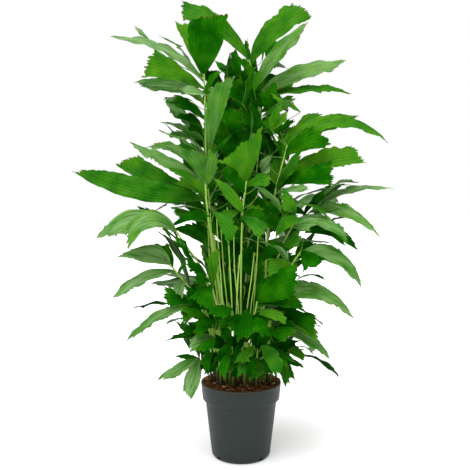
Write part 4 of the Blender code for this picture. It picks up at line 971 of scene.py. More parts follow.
def round_goals(name, stalk, index):
    """Leaflets by rule round a stalk, each its start, base, tip, width, tilt, bow, side and form."""
    draw = np.random.default_rng((ROUND_DRAW, index))
    back = name.startswith("frond_back")
    count = 0 if name.startswith("sucker") else ROUND_BACK if back else ROUND_DRAWN
    last = len(stalk.points) - 1
    goals = []
    for k in range(count):
        place = last * (ROUND_FROM + ROUND_ALONG * (k + draw.uniform(0, 1)) / count)
        start = stalk.line(np.array([place]))[0]
        if back or k % 2:
            heading = draw.uniform(-0.45, math.pi + 0.45)
        else:
            heading = draw.choice((0, math.pi)) + draw.uniform(-0.5, 0.5)
        out = np.array((math.cos(heading), math.sin(heading), 0))
        base = start + out * draw.uniform(0.010, 0.045) + np.array((0, 0, draw.uniform(0.005, 0.035)))
        slope = math.radians(draw.uniform(-25, 65))
        way = out * math.cos(slope) + np.array((0, 0, math.sin(slope)))
        tip = base + way * draw.uniform(*ROUND_LENGTHS)
        width, tilt, bow = draw.uniform(*ROUND_WIDTHS), draw.uniform(15, 75), draw.uniform(0.05, 0.16)
        form = "wedge" if draw.uniform() < 0.7 else "tailed"
        goals.append((start, base, tip, width, tilt, bow, 1 - 2 * (k % 2), form))
    return goals


def screen_goals():
    """Dark leaflets in rows behind the middle, out of line: base, tip, width, tilt, bow and side of each."""
    draw = np.random.default_rng(SCREEN_DRAW)
    goals = []
    for row, up in enumerate(np.arange(SCREEN_LOW, SCREEN_HIGH, SCREEN_STEP)):
        reach = np.interp(up, *SCREEN_HALF)
        for k, across in enumerate(np.arange(-reach, reach + 1, SCREEN_ASIDE)):
            spot = np.array((across + draw.uniform(-14, 14) + 10, up + draw.uniform(-18, 18)))
            depth = draw.uniform(*SCREEN_DEPTHS)
            lean = draw.uniform(-0.7, 0.7) + 0.004 * across
            size = draw.uniform(*SCREEN_LENGTHS)
            half = 0.5 * size * np.array((math.sin(lean), math.cos(lean)))
            base, tip = seen(*(spot - half), depth), seen(*(spot + half), depth + draw.uniform(-30, 40))
            width, tilt, bow = draw.uniform(*SCREEN_WIDTHS), draw.uniform(55, 82), draw.uniform(0.03, 0.10)
            goals.append((base, tip, width, tilt, bow, 1 - 2 * ((row + k) % 2)))
    return goals


def side_goals():
    """Leaflets inside the clump that face sideways: base, tip, facing, width, tilt, bow and side of each."""
    draw = np.random.default_rng(SIDE_DRAW)
    goals = []
    for row, up in enumerate(np.arange(SIDE_LOW, SIDE_HIGH, SIDE_STEP)):
        for k, depth in enumerate(np.arange(SIDE_FRONT, SIDE_BACK, SIDE_ASIDE)):
            away = 1 - 2 * ((row + k) % 2)
            out = away * draw.uniform(0.015, np.interp(up, *SIDE_OUT))
            spot = np.array((out, depth + draw.uniform(-0.018, 0.018), up + draw.uniform(-0.022, 0.022)))
            lean = draw.uniform(-0.9, 0.9) + 4.0 * depth
            size = draw.uniform(*SIDE_LENGTHS)
            way = np.array((away * draw.uniform(0.0, 0.3), math.sin(lean), math.cos(lean)))
            base, tip = spot - 0.5 * size * way, spot + 0.5 * size * way
            facing = unit(np.array((away, draw.uniform(-0.3, 0.3), 0)))
            width, tilt, bow = draw.uniform(*SIDE_WIDTHS), draw.uniform(52, 82), draw.uniform(0.04, 0.12)
            goals.append((base, tip, facing, width, tilt, bow, 1 - 2 * (k % 2)))
    return goals


def in_gap(points):
    """Whether any of the points hides a gap that stays open, or the stalks that show."""
    ahead = (points[:, 1] - EYE[1])[:, None]
    flat = EYE[[0, 2]] + (points[:, [0, 2]] - EYE[[0, 2]]) * -EYE[1] / ahead

    def inside(low, high):
        return ((flat > np.array(low) * MM) & (flat < np.array(high) * MM)).all(axis=1)

    hides_stalks = inside(*STALKS_SHOWN) & (points[:, 1] < STALKS_BACK)
    return hides_stalks.any() or any(inside(*gap).any() for gap in OPEN)


def small_leaflets(made):
    """All leaflets that the solids leave out: those of the table, then those by rule.

    Each is its frond's number, its twig's start, its base and tip, its width, tilt, bow, side and form, and
    its tone, seed and facing.
    """
    stalks = [stalk for _, stalk, _ in made]
    ahead = np.array((0, -1.0, 0))
    wanted = []
    for k, (base, tip, width, tilt, bow, side, tone, *form) in enumerate(THICKET):
        base = seen(*base)
        wanted.append((*nearest_stalk(stalks, base), base, seen(*tip), width, tilt, bow, side,
                       *(form or ["wedge"]), tone, (TABLE_SEED, k), ahead))
    for k, (base, *shape) in enumerate(screen_goals()):
        tone = SCREEN_TONES[k % len(SCREEN_TONES)]
        wanted.append((*nearest_stalk(stalks, base), base, *shape, "wedge", tone, (SCREEN_SEED, k), ahead))
    for k, (base, tip, facing, *shape) in enumerate(side_goals()):
        tone = SIDE_TONES[k % len(SIDE_TONES)]
        wanted.append((*nearest_stalk(stalks, base), base, tip, *shape, "wedge", tone, (SIDE_SEED, k),
                       facing))
    for index, (name, stalk, _) in enumerate(made):
        for k, (start, base, tip, *shape) in enumerate(round_goals(name, stalk, index)):
            facing = unit(np.array((*(tip - base)[:2], 0)) + 1e-6)
            tone = ROUND_TONES[k % len(ROUND_TONES)]
            wanted.append((index, start, base, tip, *shape, tone, (ROUND_SEED, index, k), facing))
    return wanted


def thicken_clump(made):
    """Adds the small leaflets to their fronds, each moved and turned until it is clear of the rest.

    One of the table stays where its last try put it when none was clear, and one by rule is then left out.
    """
    low, high = np.array(CAD_BOX[0]) + BOX_MARGIN, np.array(CAD_BOX[1]) - BOX_MARGIN
    trees = [bvh(*tube(*stalk_rings(stalk, even_places(stalk, COARSE_RINGS)), COARSE_SIDES))
             for _, stalk, _ in made]
    placed = [bvh(*thicken(*sheet(blade), SPARE)) for _, _, blades in made for blade in blades]
    for index, start, base, tip, width, tilt, bow, side, form, tone, seed, front in small_leaflets(made):
        by_rule = seed[0] > TABLE_SEED
        line_out = unit(tip - EYE)
        for k in range(RULE_TRIES if by_rule else THICKET_TRIES):
            turn, far = TRY_TURN * k, math.sqrt(k)
            sway = line_out * TRY_SWAY * MM * far * math.cos(turn)
            lift = np.array((0, 0, 1.0)) * TRY_LIFT * MM * far * math.sin(1.7 * turn)
            turned_by = TRY_TILT * far * math.sin(turn)
            blade = Blade(form, 0.0, base + sway * 0.5, tip + sway + lift, width, tilt + turned_by, bow, side,
                          front, seed)
            points, faces, rim = sheet(blade)
            if by_rule and ((points < low).any() or (points > high).any() or in_gap(points)):
                continue
            tree, box = bvh(*thicken(points, faces, rim, SMALL_SPARE))
            if not hits(tree, box, trees) and not hits(tree, box, placed):
                break
        else:
            if by_rule:
                continue
        blade.tone = tone
        blade.twig = start
        placed.append((tree, box))
        made[index][2].append(blade)
    return made


def turned_grid(radius, height, sides):
    """Rings of points round Z, of these radii and at these heights."""
    turn = round_turns(sides)
    x, y = np.outer(radius, np.cos(turn)), np.outer(radius, np.sin(turn))
    return np.stack((x, y, np.broadcast_to(height, x.shape)), axis=2)


def turned(profile, sides):
    """A body turned round Z from a profile of (radius, height) down its outer side, with two poles."""
    radius, height = np.array(profile).T
    grid = turned_grid(radius, height[:, None], sides)
    poles = [(0, 0, height[0]), (0, 0, height[-1])]
    return np.vstack((grid.reshape(-1, 3), poles)), turned_faces(len(radius), sides)


def link(name, data):
    """A new object of the scene with this data."""
    made = bpy.data.objects.new(name, data)
    bpy.context.scene.collection.objects.link(made)
    return made


class Skin:
    """Patches gathered for one mesh: points, faces, map, values for the materials, and material numbers."""

    def __init__(self):
        self.points = []
        self.faces = []
        self.map = []
        self.values = []
        self.numbers = []
        self.count = 0

    def add(self, points, faces, flat=None, values=None, number=0):
        """Adds one patch: flat is a map point for each point, and values are four numbers for each."""
        points = np.asarray(points, float).reshape(-1, 3)
        size = len(points)
        self.points.append(points)
        for group in faces:
            self.faces.append(np.asarray(group) + self.count)
            self.numbers.append(np.full(len(group), number))
        self.map.append(np.zeros((size, 2)) if flat is None else flat)
        self.values.append(np.zeros((size, 4)) if values is None else np.broadcast_to(values, (size, 4)))
        self.count += size

    def to_object(self, name, materials, sharp=50.0):
        """One mesh object from all the patches, with its map and values, smooth up to the sharp angle."""
        mesh = bpy.data.meshes.new(name)
        corners = np.concatenate([group.ravel() for group in self.faces])
        sides = np.concatenate([np.full(len(group), group.shape[1]) for group in self.faces])
        mesh.vertices.add(self.count)
        mesh.vertices.foreach_set("co", np.vstack(self.points).ravel().astype(np.float32))
        mesh.loops.add(len(corners))
        mesh.loops.foreach_set("vertex_index", corners.astype(np.int32))
        mesh.polygons.add(len(sides))
        mesh.polygons.foreach_set("loop_start", (np.cumsum(sides) - sides).astype(np.int32))
        mesh.polygons.foreach_set("material_index", np.concatenate(self.numbers).astype(np.int32))
        mesh.update(calc_edges=True)
        mesh.validate()
        flat = mesh.uv_layers.new(name="along")
        flat.data.foreach_set("uv", np.vstack(self.map)[corners].ravel().astype(np.float32))
        grown = mesh.color_attributes.new("growth", "FLOAT_COLOR", "POINT")
        grown.data.foreach_set("color", np.vstack(self.values).ravel().astype(np.float32))
        for material in materials:
            mesh.materials.append(material)
        mesh.shade_smooth()
        mesh.set_sharp_from_angle(angle=math.radians(sharp))
        return link(name, mesh)


def grid_faces(rows, columns, closed=False):
    """Four-sided faces between a grid's points, facing the cross product of a column step and a row step."""
    row, column = np.meshgrid(np.arange(rows - 1), np.arange(columns - (not closed)), indexing="ij")
    here, after = row * columns + column, row * columns + (column + 1) % columns
    corners = (here, after, after + columns, here + columns)
    return np.stack([corner.ravel() for corner in corners], axis=1)


def grid_rim(rows, columns):
    """The outer points of a grid in order, and the one after each."""
    place = np.arange(rows * columns).reshape(rows, columns)
    rim = np.concatenate((place[0], place[1:, -1], place[-1, -2::-1], place[-2:0:-1, 0]))
    return rim, np.roll(rim, -1)


def grid_normals(grid):
    """Unit normals of a grid of points: the cross product of its steps across and along."""
    along, across = np.gradient(grid, axis=0), np.gradient(grid, axis=1)
    normal = np.cross(across, along)
    return normal / np.maximum(np.linalg.norm(normal, axis=2, keepdims=True), 1e-12)


def leaf_sheet(blade, u, columns, per_gap, looks, draw):
    """A leaflet's middle sheet as a grid of points, and each point's place along and across it.

    The columns are rays from the root, with some to each tooth of the end. The sheet is pleated along its
    rays by a cosine and ruffled at its sides, and small nicks and tears cut its end and its side edges.
    """
    rows = len(u)
    ends, _ = blade.end_row()
    v = np.interp(np.linspace(0, len(ends) - 1, columns), np.arange(len(ends)), ends)
    along, across = (part.ravel() for part in np.meshgrid(u, v, indexing="ij"))
    nicks = draw.uniform(0, 1, columns) ** 1.5 * looks.nick / blade.length()
    nicks[::per_gap] *= 0.25
    torn = draw.uniform(0, 1, (2, rows)) ** 2 * looks.tear / (blade.width / 2)
    torn = torn * np.clip(u * 2.2 - 0.7, 0, 1) * (0.4, 1.0)[blade.side > 0]
    torn[0 if blade.side > 0 else 1] *= 1.6
    edge = np.where(across < 0, np.repeat(torn[0], columns), np.repeat(torn[1], columns))
    across = across * (1 - edge * np.abs(across) ** 2)
    pleats = max(2.0, round(blade.width / looks.pleat))
    swing = np.cos(math.pi * pleats * across + blade.phase[1])
    swing = swing + 0.35 * np.cos(7.0 * across + 5 * along + blade.phase[2])
    fade = np.clip(along * 5, 0, 1) * (1 - 0.45 * along)
    turns = blade.length() / looks.ruffle
    ruffle = np.sin(2 * math.pi * turns * along + blade.phase[0] + 1.3 * np.sign(across))
    ruffle = ruffle * np.abs(across) ** 1.6
    raised = looks.pleat_depth * fade * swing + looks.ruffle_depth * ruffle * np.clip(along * 2.5, 0, 1)
    short = np.tile(nicks, rows) * along**7
    return blade.surface(along, across, short, raised).reshape(rows, columns, 3), along, across


def leaf_skin(skin, blade, tone, looks):
    """A leaflet: its middle sheet laid out again on both sides at half the thickness, and walled round."""
    small = blade.seed[0] > TABLE_SEED
    per_gap = LEAF_COLUMNS if blade.width > WIDE_LEAF and not small else SMALL_COLUMNS
    columns = (2 * blade.tooth_count() - 2) * per_gap + 1
    rows = int(np.clip(blade.length() / (SMALL_STEP if small else LEAF_STEP), 8, 30))
    u = np.linspace(0, 1, rows) ** 0.85
    draw = np.random.default_rng((*blade.seed, LEAF_DRAW))
    middle, along, across = leaf_sheet(blade, u, columns, per_gap, looks, draw)

    thick = looks.thickness / 2 * (1 + 1.2 * np.clip(1 - 8 * u, 0, 1))[:, None, None]
    apart = grid_normals(middle) * thick
    both = np.concatenate((middle + apart, middle - apart)).reshape(-1, 3)
    top = grid_faces(rows, columns)
    size = rows * columns
    rim, after = grid_rim(rows, columns)
    walls = np.stack((after, rim, rim + size, after + size), axis=1)

    flat = np.column_stack((across * blade.width / 2, along * blade.length()))
    brightness, pale = TONES[blade.tone or tone]
    # Painted shade: leaflets near the axis and low in the clump are darkened, the more the nearer and lower.
    near_axis = np.clip(1.35 - np.hypot(*blade.tip[:2]) / SHADE_WITHIN, 0, 1)
    deep_shade = near_axis * np.clip((SHADE_BELOW - blade.tip[2]) / 0.25, 0, 1)
    values = np.empty((2, size, 4))
    values[:, :, 0] = np.clip(brightness + draw.uniform(-0.09, 0.09) - looks.inner_shade * deep_shade, 0, 1)
    # The upper side's paleness: the underside's own colour for u, and painted sheen for the other tones.
    values[0, :, 1] = pale
    values[1, :, 1] = (1 - pale) * looks.pale_below
    values[:, :, 2] = draw.uniform(0, 1)
    values[:, :, 3] = along
    faces = (top, top[:, ::-1] + size, walls)
    skin.add(both, faces, np.vstack((flat, flat)), values.reshape(-1, 4), LEAF_MATERIAL)


def ring_grid(centres, radii, sides):
    """Rings round a line: each centre + radius * (cos * up + sin * side).

    Up is square to the line, and as near as it can be to the direction in which the line spreads least, so
    that the rings don't twist.
    """
    run = rows_unit(np.gradient(centres, axis=0))
    flat = np.linalg.svd(centres - centres.mean(0), full_matrices=False)[2][2]
    up = rows_unit(flat - run * (run @ flat)[:, None])
    side = np.cross(run, up)
    turn = round_turns(sides)
    ring = np.cos(turn)[None, :, None] * up[:, None] + np.sin(turn)[None, :, None] * side[:, None]
    return centres[:, None] + radii[:, None, None] * ring


def tube_map(sides, radius, reach):
    """A map point for each point of a tube: how far round it and how far along it."""
    around = round_turns(sides)[None, :] * radius
    return np.stack(np.broadcast_arrays(around, reach[:, None]), axis=2).reshape(-1, 2)


def tube_faces(rows, sides):
    """The faces of a closed tube of rings, facing outwards, with a fan of triangles at each end."""
    fan = np.arange(1, sides - 1)
    first = np.stack((np.zeros_like(fan), fan + 1, fan), axis=1)
    last = (rows - 1) * sides + np.stack((np.zeros_like(fan), fan, fan + 1), axis=1)
    return grid_faces(rows, sides, closed=True), first, last


def stalk_skin(skin, stalk, blades, looks, slim=1.0):
    """A stalk: rings along its centre line, a little swollen where leaflets root, and rounded off at the top.

    slim is its thickness as a part of a full stalk's.
    """
    last = len(stalk.points) - 1
    s = np.linspace(-1, last, int(looks.stalk_rings * (last + 1)))
    line = stalk.line(s)
    radii = stalk.radius(s)
    roots = np.array([blade.place for blade in blades])
    near = np.exp(-((s[:, None] - roots[None, :]) / 0.10) ** 2)
    radii = radii * (1 + looks.swelling * near.max(axis=1, initial=0))
    foot = stalk.start - np.array((0, 0, 1.0)) * np.array((HOLE_DEPTH - 0.002, 0.010))[:, None]
    way = unit(line[-1] - line[-2])
    closing = np.array((0.45, 0.80, 0.98))
    tip = line[-1] + way * (closing * radii[-1])[:, None]
    centres = np.vstack((foot, line, tip))
    radii = np.concatenate(((STALK_FOOT, STALK_FOOT), radii, radii[-1] * np.sqrt(1 - closing**2))) * slim
    sides = looks.stalk_sides
    grid = ring_grid(centres, radii, sides)
    reach = np.concatenate(([0], np.cumsum(np.linalg.norm(np.diff(centres, axis=0), axis=1))))
    draw = np.random.default_rng(len(blades) * 31 + int(abs(stalk.foot[0]) * 1e4))
    values = np.zeros((len(centres), sides, 4))
    values[:, :, 0] = draw.uniform(0.2, 0.9)
    values[:, :, 1] = np.clip((centres[:, 2] - RIM_HEIGHT) / 0.20, 0, 1)[:, None]
    flat = tube_map(sides, STALK_TOP, reach)
    skin.add(grid, tube_faces(len(centres), sides), flat, values.reshape(-1, 4), STALK_MATERIAL)


def twig_skin(skin, blade):
    """A twig for a small leaflet: rings along the curve (1 - t)^2 start + 2 t (1 - t) knee + t^2 base."""
    start, base = blade.twig, blade.root
    knee = (start + base) / 2 + np.array((0, 0, -0.2)) * np.linalg.norm(base[:2] - start[:2])
    t = np.linspace(0, 1, 9)[:, None]
    centres = (1 - t) ** 2 * start + 2 * t * (1 - t) * knee + t**2 * base
    grid = ring_grid(centres, np.linspace(TWIG * 1.3, TWIG, len(centres)), COARSE_SIDES)
    flat = tube_map(COARSE_SIDES, TWIG, np.linspace(0, np.linalg.norm(base - start), len(centres)))
    skin.add(grid, tube_faces(len(centres), COARSE_SIDES), flat, TWIG_VALUES, STALK_MATERIAL)


def waves(points, pitch, count, seed):
    """A smooth random height of about -1 to 1: sine waves in random directions, of about the given pitch."""
    draw = np.random.default_rng(seed)
    way = draw.normal(size=(count, points.shape[1]))
    way = rows_unit(way) * (2 * math.pi / (pitch * draw.uniform(0.6, 1.7, count)))[:, None]
    swing = np.sin(points @ way.T + draw.uniform(0, 2 * math.pi, count))
    return swing.sum(axis=1) / math.sqrt(count)


def turned_faces(rows, sides):
    """Faces of a turned body whose profile runs down its outer side, with a fan to a pole at each end."""
    around = np.arange(sides)
    after = (around + 1) % sides
    last = (rows - 1) * sides
    top = np.stack((np.full(sides, rows * sides), around, after), axis=1)
    low = np.stack((np.full(sides, rows * sides + 1), last + after, last + around), axis=1)
    return grid_faces(rows, sides, closed=True)[:, ::-1], top, low


def rounded(corners, radius, steps):
    """A profile whose inner corners are quadratic curves that start and end at the radius from the corner."""
    corners = np.array(corners, float)
    inner = corners[1:-1]
    ends = []
    for away in (corners[:-2] - inner, corners[2:] - inner):
        cut = np.minimum(radius, 0.45 * np.linalg.norm(away, axis=1))[:, None]
        ends.append((inner + rows_unit(away) * cut)[:, None])
    start, end = ends
    t = np.linspace(0, 1, steps)[None, :, None]
    curve = (1 - t) ** 2 * start + 2 * t * (1 - t) * inner[:, None] + t**2 * end
    return np.vstack((corners[:1], curve.reshape(-1, 2), corners[-1:]))


def linear(colour):
    """A linear colour from an sRGB hex number such as 0x2E7D0E, by the sRGB curve."""
    parts = np.array([(colour >> shift & 255) / 255 for shift in (16, 8, 0)])
    parts = np.where(parts <= 0.04045, parts / 12.92, ((parts + 0.055) / 1.055) ** 2.4)
    return (*parts.tolist(), 1.0)


def rgb(colour):
    """The first three parts of a linear colour, for a colour property's default."""
    return linear(colour)[:3]


def node(tree, kind, inputs=None, **settings):
    """Adds a node with its own settings, and links or fills its inputs, which are given by name or number."""
    made = tree.nodes.new(kind)
    for name, value in settings.items():
        setattr(made, name, value)
    for place, value in (inputs or {}).items():
        if isinstance(value, bpy.types.NodeSocket):
            tree.links.new(value, made.inputs[place])
        else:
            made.inputs[place].default_value = value
    return made


def ramp(tree, factor, stops):
    """A colour ramp through the stops, which are (place, linear colour)."""
    made = node(tree, "ShaderNodeValToRGB", {0: factor})
    elements = made.color_ramp.elements
    elements[0].position, elements[0].color = stops[0]
    elements[1].position, elements[1].color = stops[-1]
    for place, colour in stops[1:-1]:
        elements.new(place).color = colour
    return made.outputs["Color"]


def maths(tree, operation, *values):
    """One sum on values or sockets."""
    return node(tree, "ShaderNodeMath", dict(enumerate(values)), operation=operation).outputs[0]


def blend(tree, factor, first, second):
    """Two colours mixed by a factor."""
    return node(tree, "ShaderNodeMix", {0: factor, 6: first, 7: second}, data_type="RGBA").outputs[2]


def noise(tree, place, scale, detail):
    """Fractal noise of about 0.5 at a place."""
    return node(tree, "ShaderNodeTexNoise", {"Vector": place, "Scale": scale, "Detail": detail}).outputs[0]


def stretched_noise(tree, flat, around, along, detail):
    """Noise on a map, with one scale across it and another along it."""
    drawn = node(tree, "ShaderNodeMapping", {"Vector": flat, "Scale": (around, along, 1.0)}).outputs[0]
    return noise(tree, drawn, 1.0, detail)


def bumped(tree, height, strength, distance):
    """The surface's normal as a height bends it."""
    inputs = {"Height": height, "Strength": strength, "Distance": distance}
    return node(tree, "ShaderNodeBump", inputs).outputs[0]


def coated(tree, colour, rough, normal, gloss, **more):
    """The shader of a surface of this colour, roughness, normal and gloss, and of an IOR if one is given."""
    inputs = {"Base Color": colour, "Roughness": rough, "Normal": normal, "Specular IOR Level": gloss, **more}
    return node(tree, "ShaderNodeBsdfPrincipled", inputs).outputs[0]


def growth(tree):
    """The four values that each point of a piece carries."""
    values = node(tree, "ShaderNodeAttribute", attribute_name="growth")
    first_three = node(tree, "ShaderNodeSeparateColor", {0: values.outputs["Color"]}).outputs
    return (*first_three, values.outputs["Alpha"])


def palette(places, colours):
    """Stops for a ramp, from places and colours without alpha."""
    return [(place, (*colour, 1)) for place, colour in zip(places, colours)]


def new_material(name):
    """An empty node material and its tree."""
    material = bpy.data.materials.new(name)
    material.use_nodes = True
    tree = material.node_tree
    tree.nodes.clear()
    return material, tree


def finished(material, shader):
    """The material with this shader as its surface."""
    node(material.node_tree, "ShaderNodeOutputMaterial", {"Surface": shader})
    return material


def fresh_palm_leaf(looks):
    """Fresh palm leaf, grown: a waxy green blade that lets some light through, with veins along its rays.

    The veins break up the soft gloss of the wax, which is stronger on the paler underside.
    """
    material, tree = new_material("fresh_palm_leaf")
    tone, under, hue, end = growth(tree)
    flat = node(tree, "ShaderNodeUVMap", uv_map="along").outputs[0]
    place = node(tree, "ShaderNodeTexCoord").outputs["Object"]
    sway = noise(tree, flat, 60.0, 1.0)
    across = node(tree, "ShaderNodeSeparateXYZ", {0: flat}).outputs[0]
    across = maths(tree, "MULTIPLY_ADD", sway, 1.2 * MM, across)
    turns = maths(tree, "MULTIPLY", across, 2 * math.pi / looks.vein_gap)
    fine = maths(tree, "MULTIPLY_ADD", maths(tree, "SINE", turns), 0.5, 0.5)
    slow = maths(tree, "SINE", maths(tree, "MULTIPLY", turns, 0.31))
    slow = maths(tree, "MULTIPLY_ADD", slow, 0.5, 0.5)
    vein = maths(tree, "ADD", maths(tree, "POWER", fine, 3.0), maths(tree, "POWER", slow, 8.0))
    mottle = noise(tree, place, 22.0, 4.0)
    shade = maths(tree, "MULTIPLY_ADD", maths(tree, "SUBTRACT", mottle, 0.5), 0.85, tone)
    shade = maths(tree, "MULTIPLY_ADD", vein, maths(tree, "MULTIPLY_ADD", tone, 0.10, 0.07), shade)
    greens = (looks.deep, looks.dark, looks.middle, looks.bright, looks.light)
    green = ramp(tree, shade, palette((0.0, 0.23, 0.40, 0.68, 1.0), greens))
    green = blend(tree, maths(tree, "MULTIPLY", hue, 0.07), green, linear(WARM_GREEN))
    veined = maths(tree, "MULTIPLY", vein, 0.45)
    pale = blend(tree, veined, (*looks.underside, 1), (*looks.underside_vein, 1))
    pale = blend(tree, 0.30, pale, green)
    # Pale streaks: on undersides their own paler colour in streaks of painted sheen, on upper sides painted
    # sheen.
    sheen_streak = stretched_noise(tree, flat, 52.0, 11.0, 2.0)
    underside_and_sheen = maths(tree, "MULTIPLY", under, maths(tree, "MULTIPLY_ADD", sheen_streak, 4.6, -1.5))
    underside_and_sheen = node(tree, "ShaderNodeClamp", {0: underside_and_sheen}).outputs[0]
    face = blend(tree, underside_and_sheen, green, pale)
    dry = maths(tree, "GREATER_THAN", end, DRY_FROM)
    dry = maths(tree, "MULTIPLY", dry, maths(tree, "GREATER_THAN", mottle, 0.5))
    face = blend(tree, maths(tree, "MULTIPLY", dry, 0.55), face, linear(DRY_BROWN))
    rough = maths(tree, "MULTIPLY_ADD", under, -0.06, 0.34)
    rough = maths(tree, "MULTIPLY_ADD", mottle, 0.16, rough)
    relief = maths(tree, "MULTIPLY_ADD", vein, 0.5, maths(tree, "MULTIPLY", mottle, 0.8))
    bump = bumped(tree, relief, 0.55, 0.5 * MM)
    gloss = maths(tree, "MULTIPLY_ADD", under, 0.30, 0.01)
    front = coated(tree, face, rough, bump, gloss, IOR=WAX_IOR)
    glow = blend(tree, 0.25, green, (*looks.light, 1))
    through = node(tree, "ShaderNodeBsdfTranslucent", {"Color": glow, "Normal": bump}).outputs[0]
    both = node(tree, "ShaderNodeMixShader", {0: looks.let_through, 1: front, 2: through}).outputs[0]
    return finished(material, both)


def fresh_palm_stalk(looks):
    """Fresh palm leaf stalk, grown: smooth and yellow-green with lengthwise fibres, and brown at its foot."""
    material, tree = new_material("fresh_palm_stalk")
    tone, height, _, _ = growth(tree)
    flat = node(tree, "ShaderNodeUVMap", uv_map="along").outputs[0]
    fibre = stretched_noise(tree, flat, 900.0, 22.0, 3.0)
    spot = maths(tree, "MULTIPLY_ADD", maths(tree, "SUBTRACT", fibre, 0.5), 0.35, height)
    colours = (looks.stalk_foot, looks.stalk_sheath, looks.stalk, looks.stalk)
    skin = ramp(tree, spot, palette((0.0, 0.24, 0.60, 1.0), colours))
    dull = maths(tree, "MULTIPLY", maths(tree, "SUBTRACT", 1.0, tone), maths(tree, "MULTIPLY", height, 0.32))
    skin = blend(tree, dull, skin, (*looks.middle, 1))
    pale = maths(tree, "MULTIPLY", height, height)
    pale = maths(tree, "MULTIPLY", pale, maths(tree, "MULTIPLY", fibre, 0.42))
    skin = blend(tree, pale, skin, (*looks.stalk_light, 1))
    bump = bumped(tree, fibre, 0.4, 0.4 * MM)
    return finished(material, coated(tree, skin, 0.5, bump, 0.16, IOR=WAX_IOR))


def moulded_polypropylene(looks):
    """Recycled polypropylene, injection moulded: a matt dark green-grey, a little lighter on the band."""
    material, tree = new_material("moulded_polypropylene")
    place = node(tree, "ShaderNodeTexCoord").outputs["Object"]
    height = node(tree, "ShaderNodeSeparateXYZ", {0: place}).outputs[2]
    cloud = noise(tree, place, 18.0, 4.0)
    grain = noise(tree, place, 1 / (1.1 * MM), 2.0)
    up = {0: height, 1: STEP_FOOT - 3 * MM, 2: BAND_FOOT + 2 * MM}
    band = node(tree, "ShaderNodeMapRange", up).outputs[0]
    # Compost stain and a painted highlight: the lip's top edge is mixed towards a light brown.
    lip = node(tree, "ShaderNodeMapRange", {0: height, 1: RIM_HEIGHT - 3 * MM, 2: RIM_HEIGHT}).outputs[0]
    colour = blend(tree, band, (*looks.wall, 1), (*looks.band, 1))
    colour = blend(tree, maths(tree, "MULTIPLY", cloud, 0.28), colour, (*looks.dust, 1))
    colour = blend(tree, maths(tree, "MULTIPLY", lip, 0.5), colour, (*looks.lip, 1))
    rough = maths(tree, "MULTIPLY_ADD", cloud, 0.22, 0.36)
    relief = maths(tree, "MULTIPLY_ADD", cloud, 2.0, grain)
    bump = bumped(tree, relief, 0.35, 0.25 * MM)
    return finished(material, coated(tree, colour, rough, bump, 0.24, IOR=PLASTIC_IOR))


def coir_and_bark(looks):
    """Potting compost of coir and bark, loosely filled: dry, rough and brown, with pale and dark chips."""
    material, tree = new_material("coir_and_bark")
    tone = growth(tree)[0]
    place = node(tree, "ShaderNodeTexCoord").outputs["Object"]
    crumb = noise(tree, place, 1 / (4 * MM), 4.0)
    cell = node(tree, "ShaderNodeTexVoronoi", {"Vector": place, "Scale": 1 / (3.2 * MM)}).outputs["Distance"]
    # Painted shade in the hollows: the colour is darkest where the crumb noise is low, which the bump sinks.
    spot = maths(tree, "ADD", maths(tree, "MULTIPLY", tone, 0.75), maths(tree, "MULTIPLY", crumb, 0.35))
    browns = (looks.dark, looks.brown, looks.tan, looks.pale)
    colour = ramp(tree, spot, palette((0.10, 0.45, 0.80, 1.0), browns))
    relief = maths(tree, "SUBTRACT", crumb, maths(tree, "MULTIPLY", cell, 0.8))
    bump = bumped(tree, relief, 0.8, 1.2 * MM)
    return finished(material, coated(tree, colour, 0.9, bump, 0.25))


def plain_paper(looks):
    """Matt white paper: it throws light back evenly, and glows a little so that it stays white."""
    material, tree = new_material("plain_paper")
    paper = {"Base Color": (*looks.floor, 1), "Roughness": 1.0, "Specular IOR Level": 0.0}
    paper |= {"Emission Color": (1, 1, 1, 1), "Emission Strength": looks.floor_glow}
    return finished(material, node(tree, "ShaderNodeBsdfPrincipled", paper).outputs[0])


def colour(name, description, number):
    """A colour property whose default is an sRGB hex number."""
    return bpy.props.FloatVectorProperty(
        name=name, description=description, subtype="COLOR", size=3, min=0, max=1, default=rgb(number))


def length(name, description, default):
    """A length property in metres."""
    return bpy.props.FloatProperty(name=name, description=description, unit="LENGTH", min=0, default=default)


def share(name, description, default):
    """A property that is a share from 0 to 1."""
    return bpy.props.FloatProperty(
        name=name, description=description, subtype="FACTOR", min=0, max=1, default=default)


def amount(name, description, default, least=0, most=100000):
    """A property that counts something."""
    return bpy.props.IntProperty(name=name, description=description, default=default, min=least, max=most)


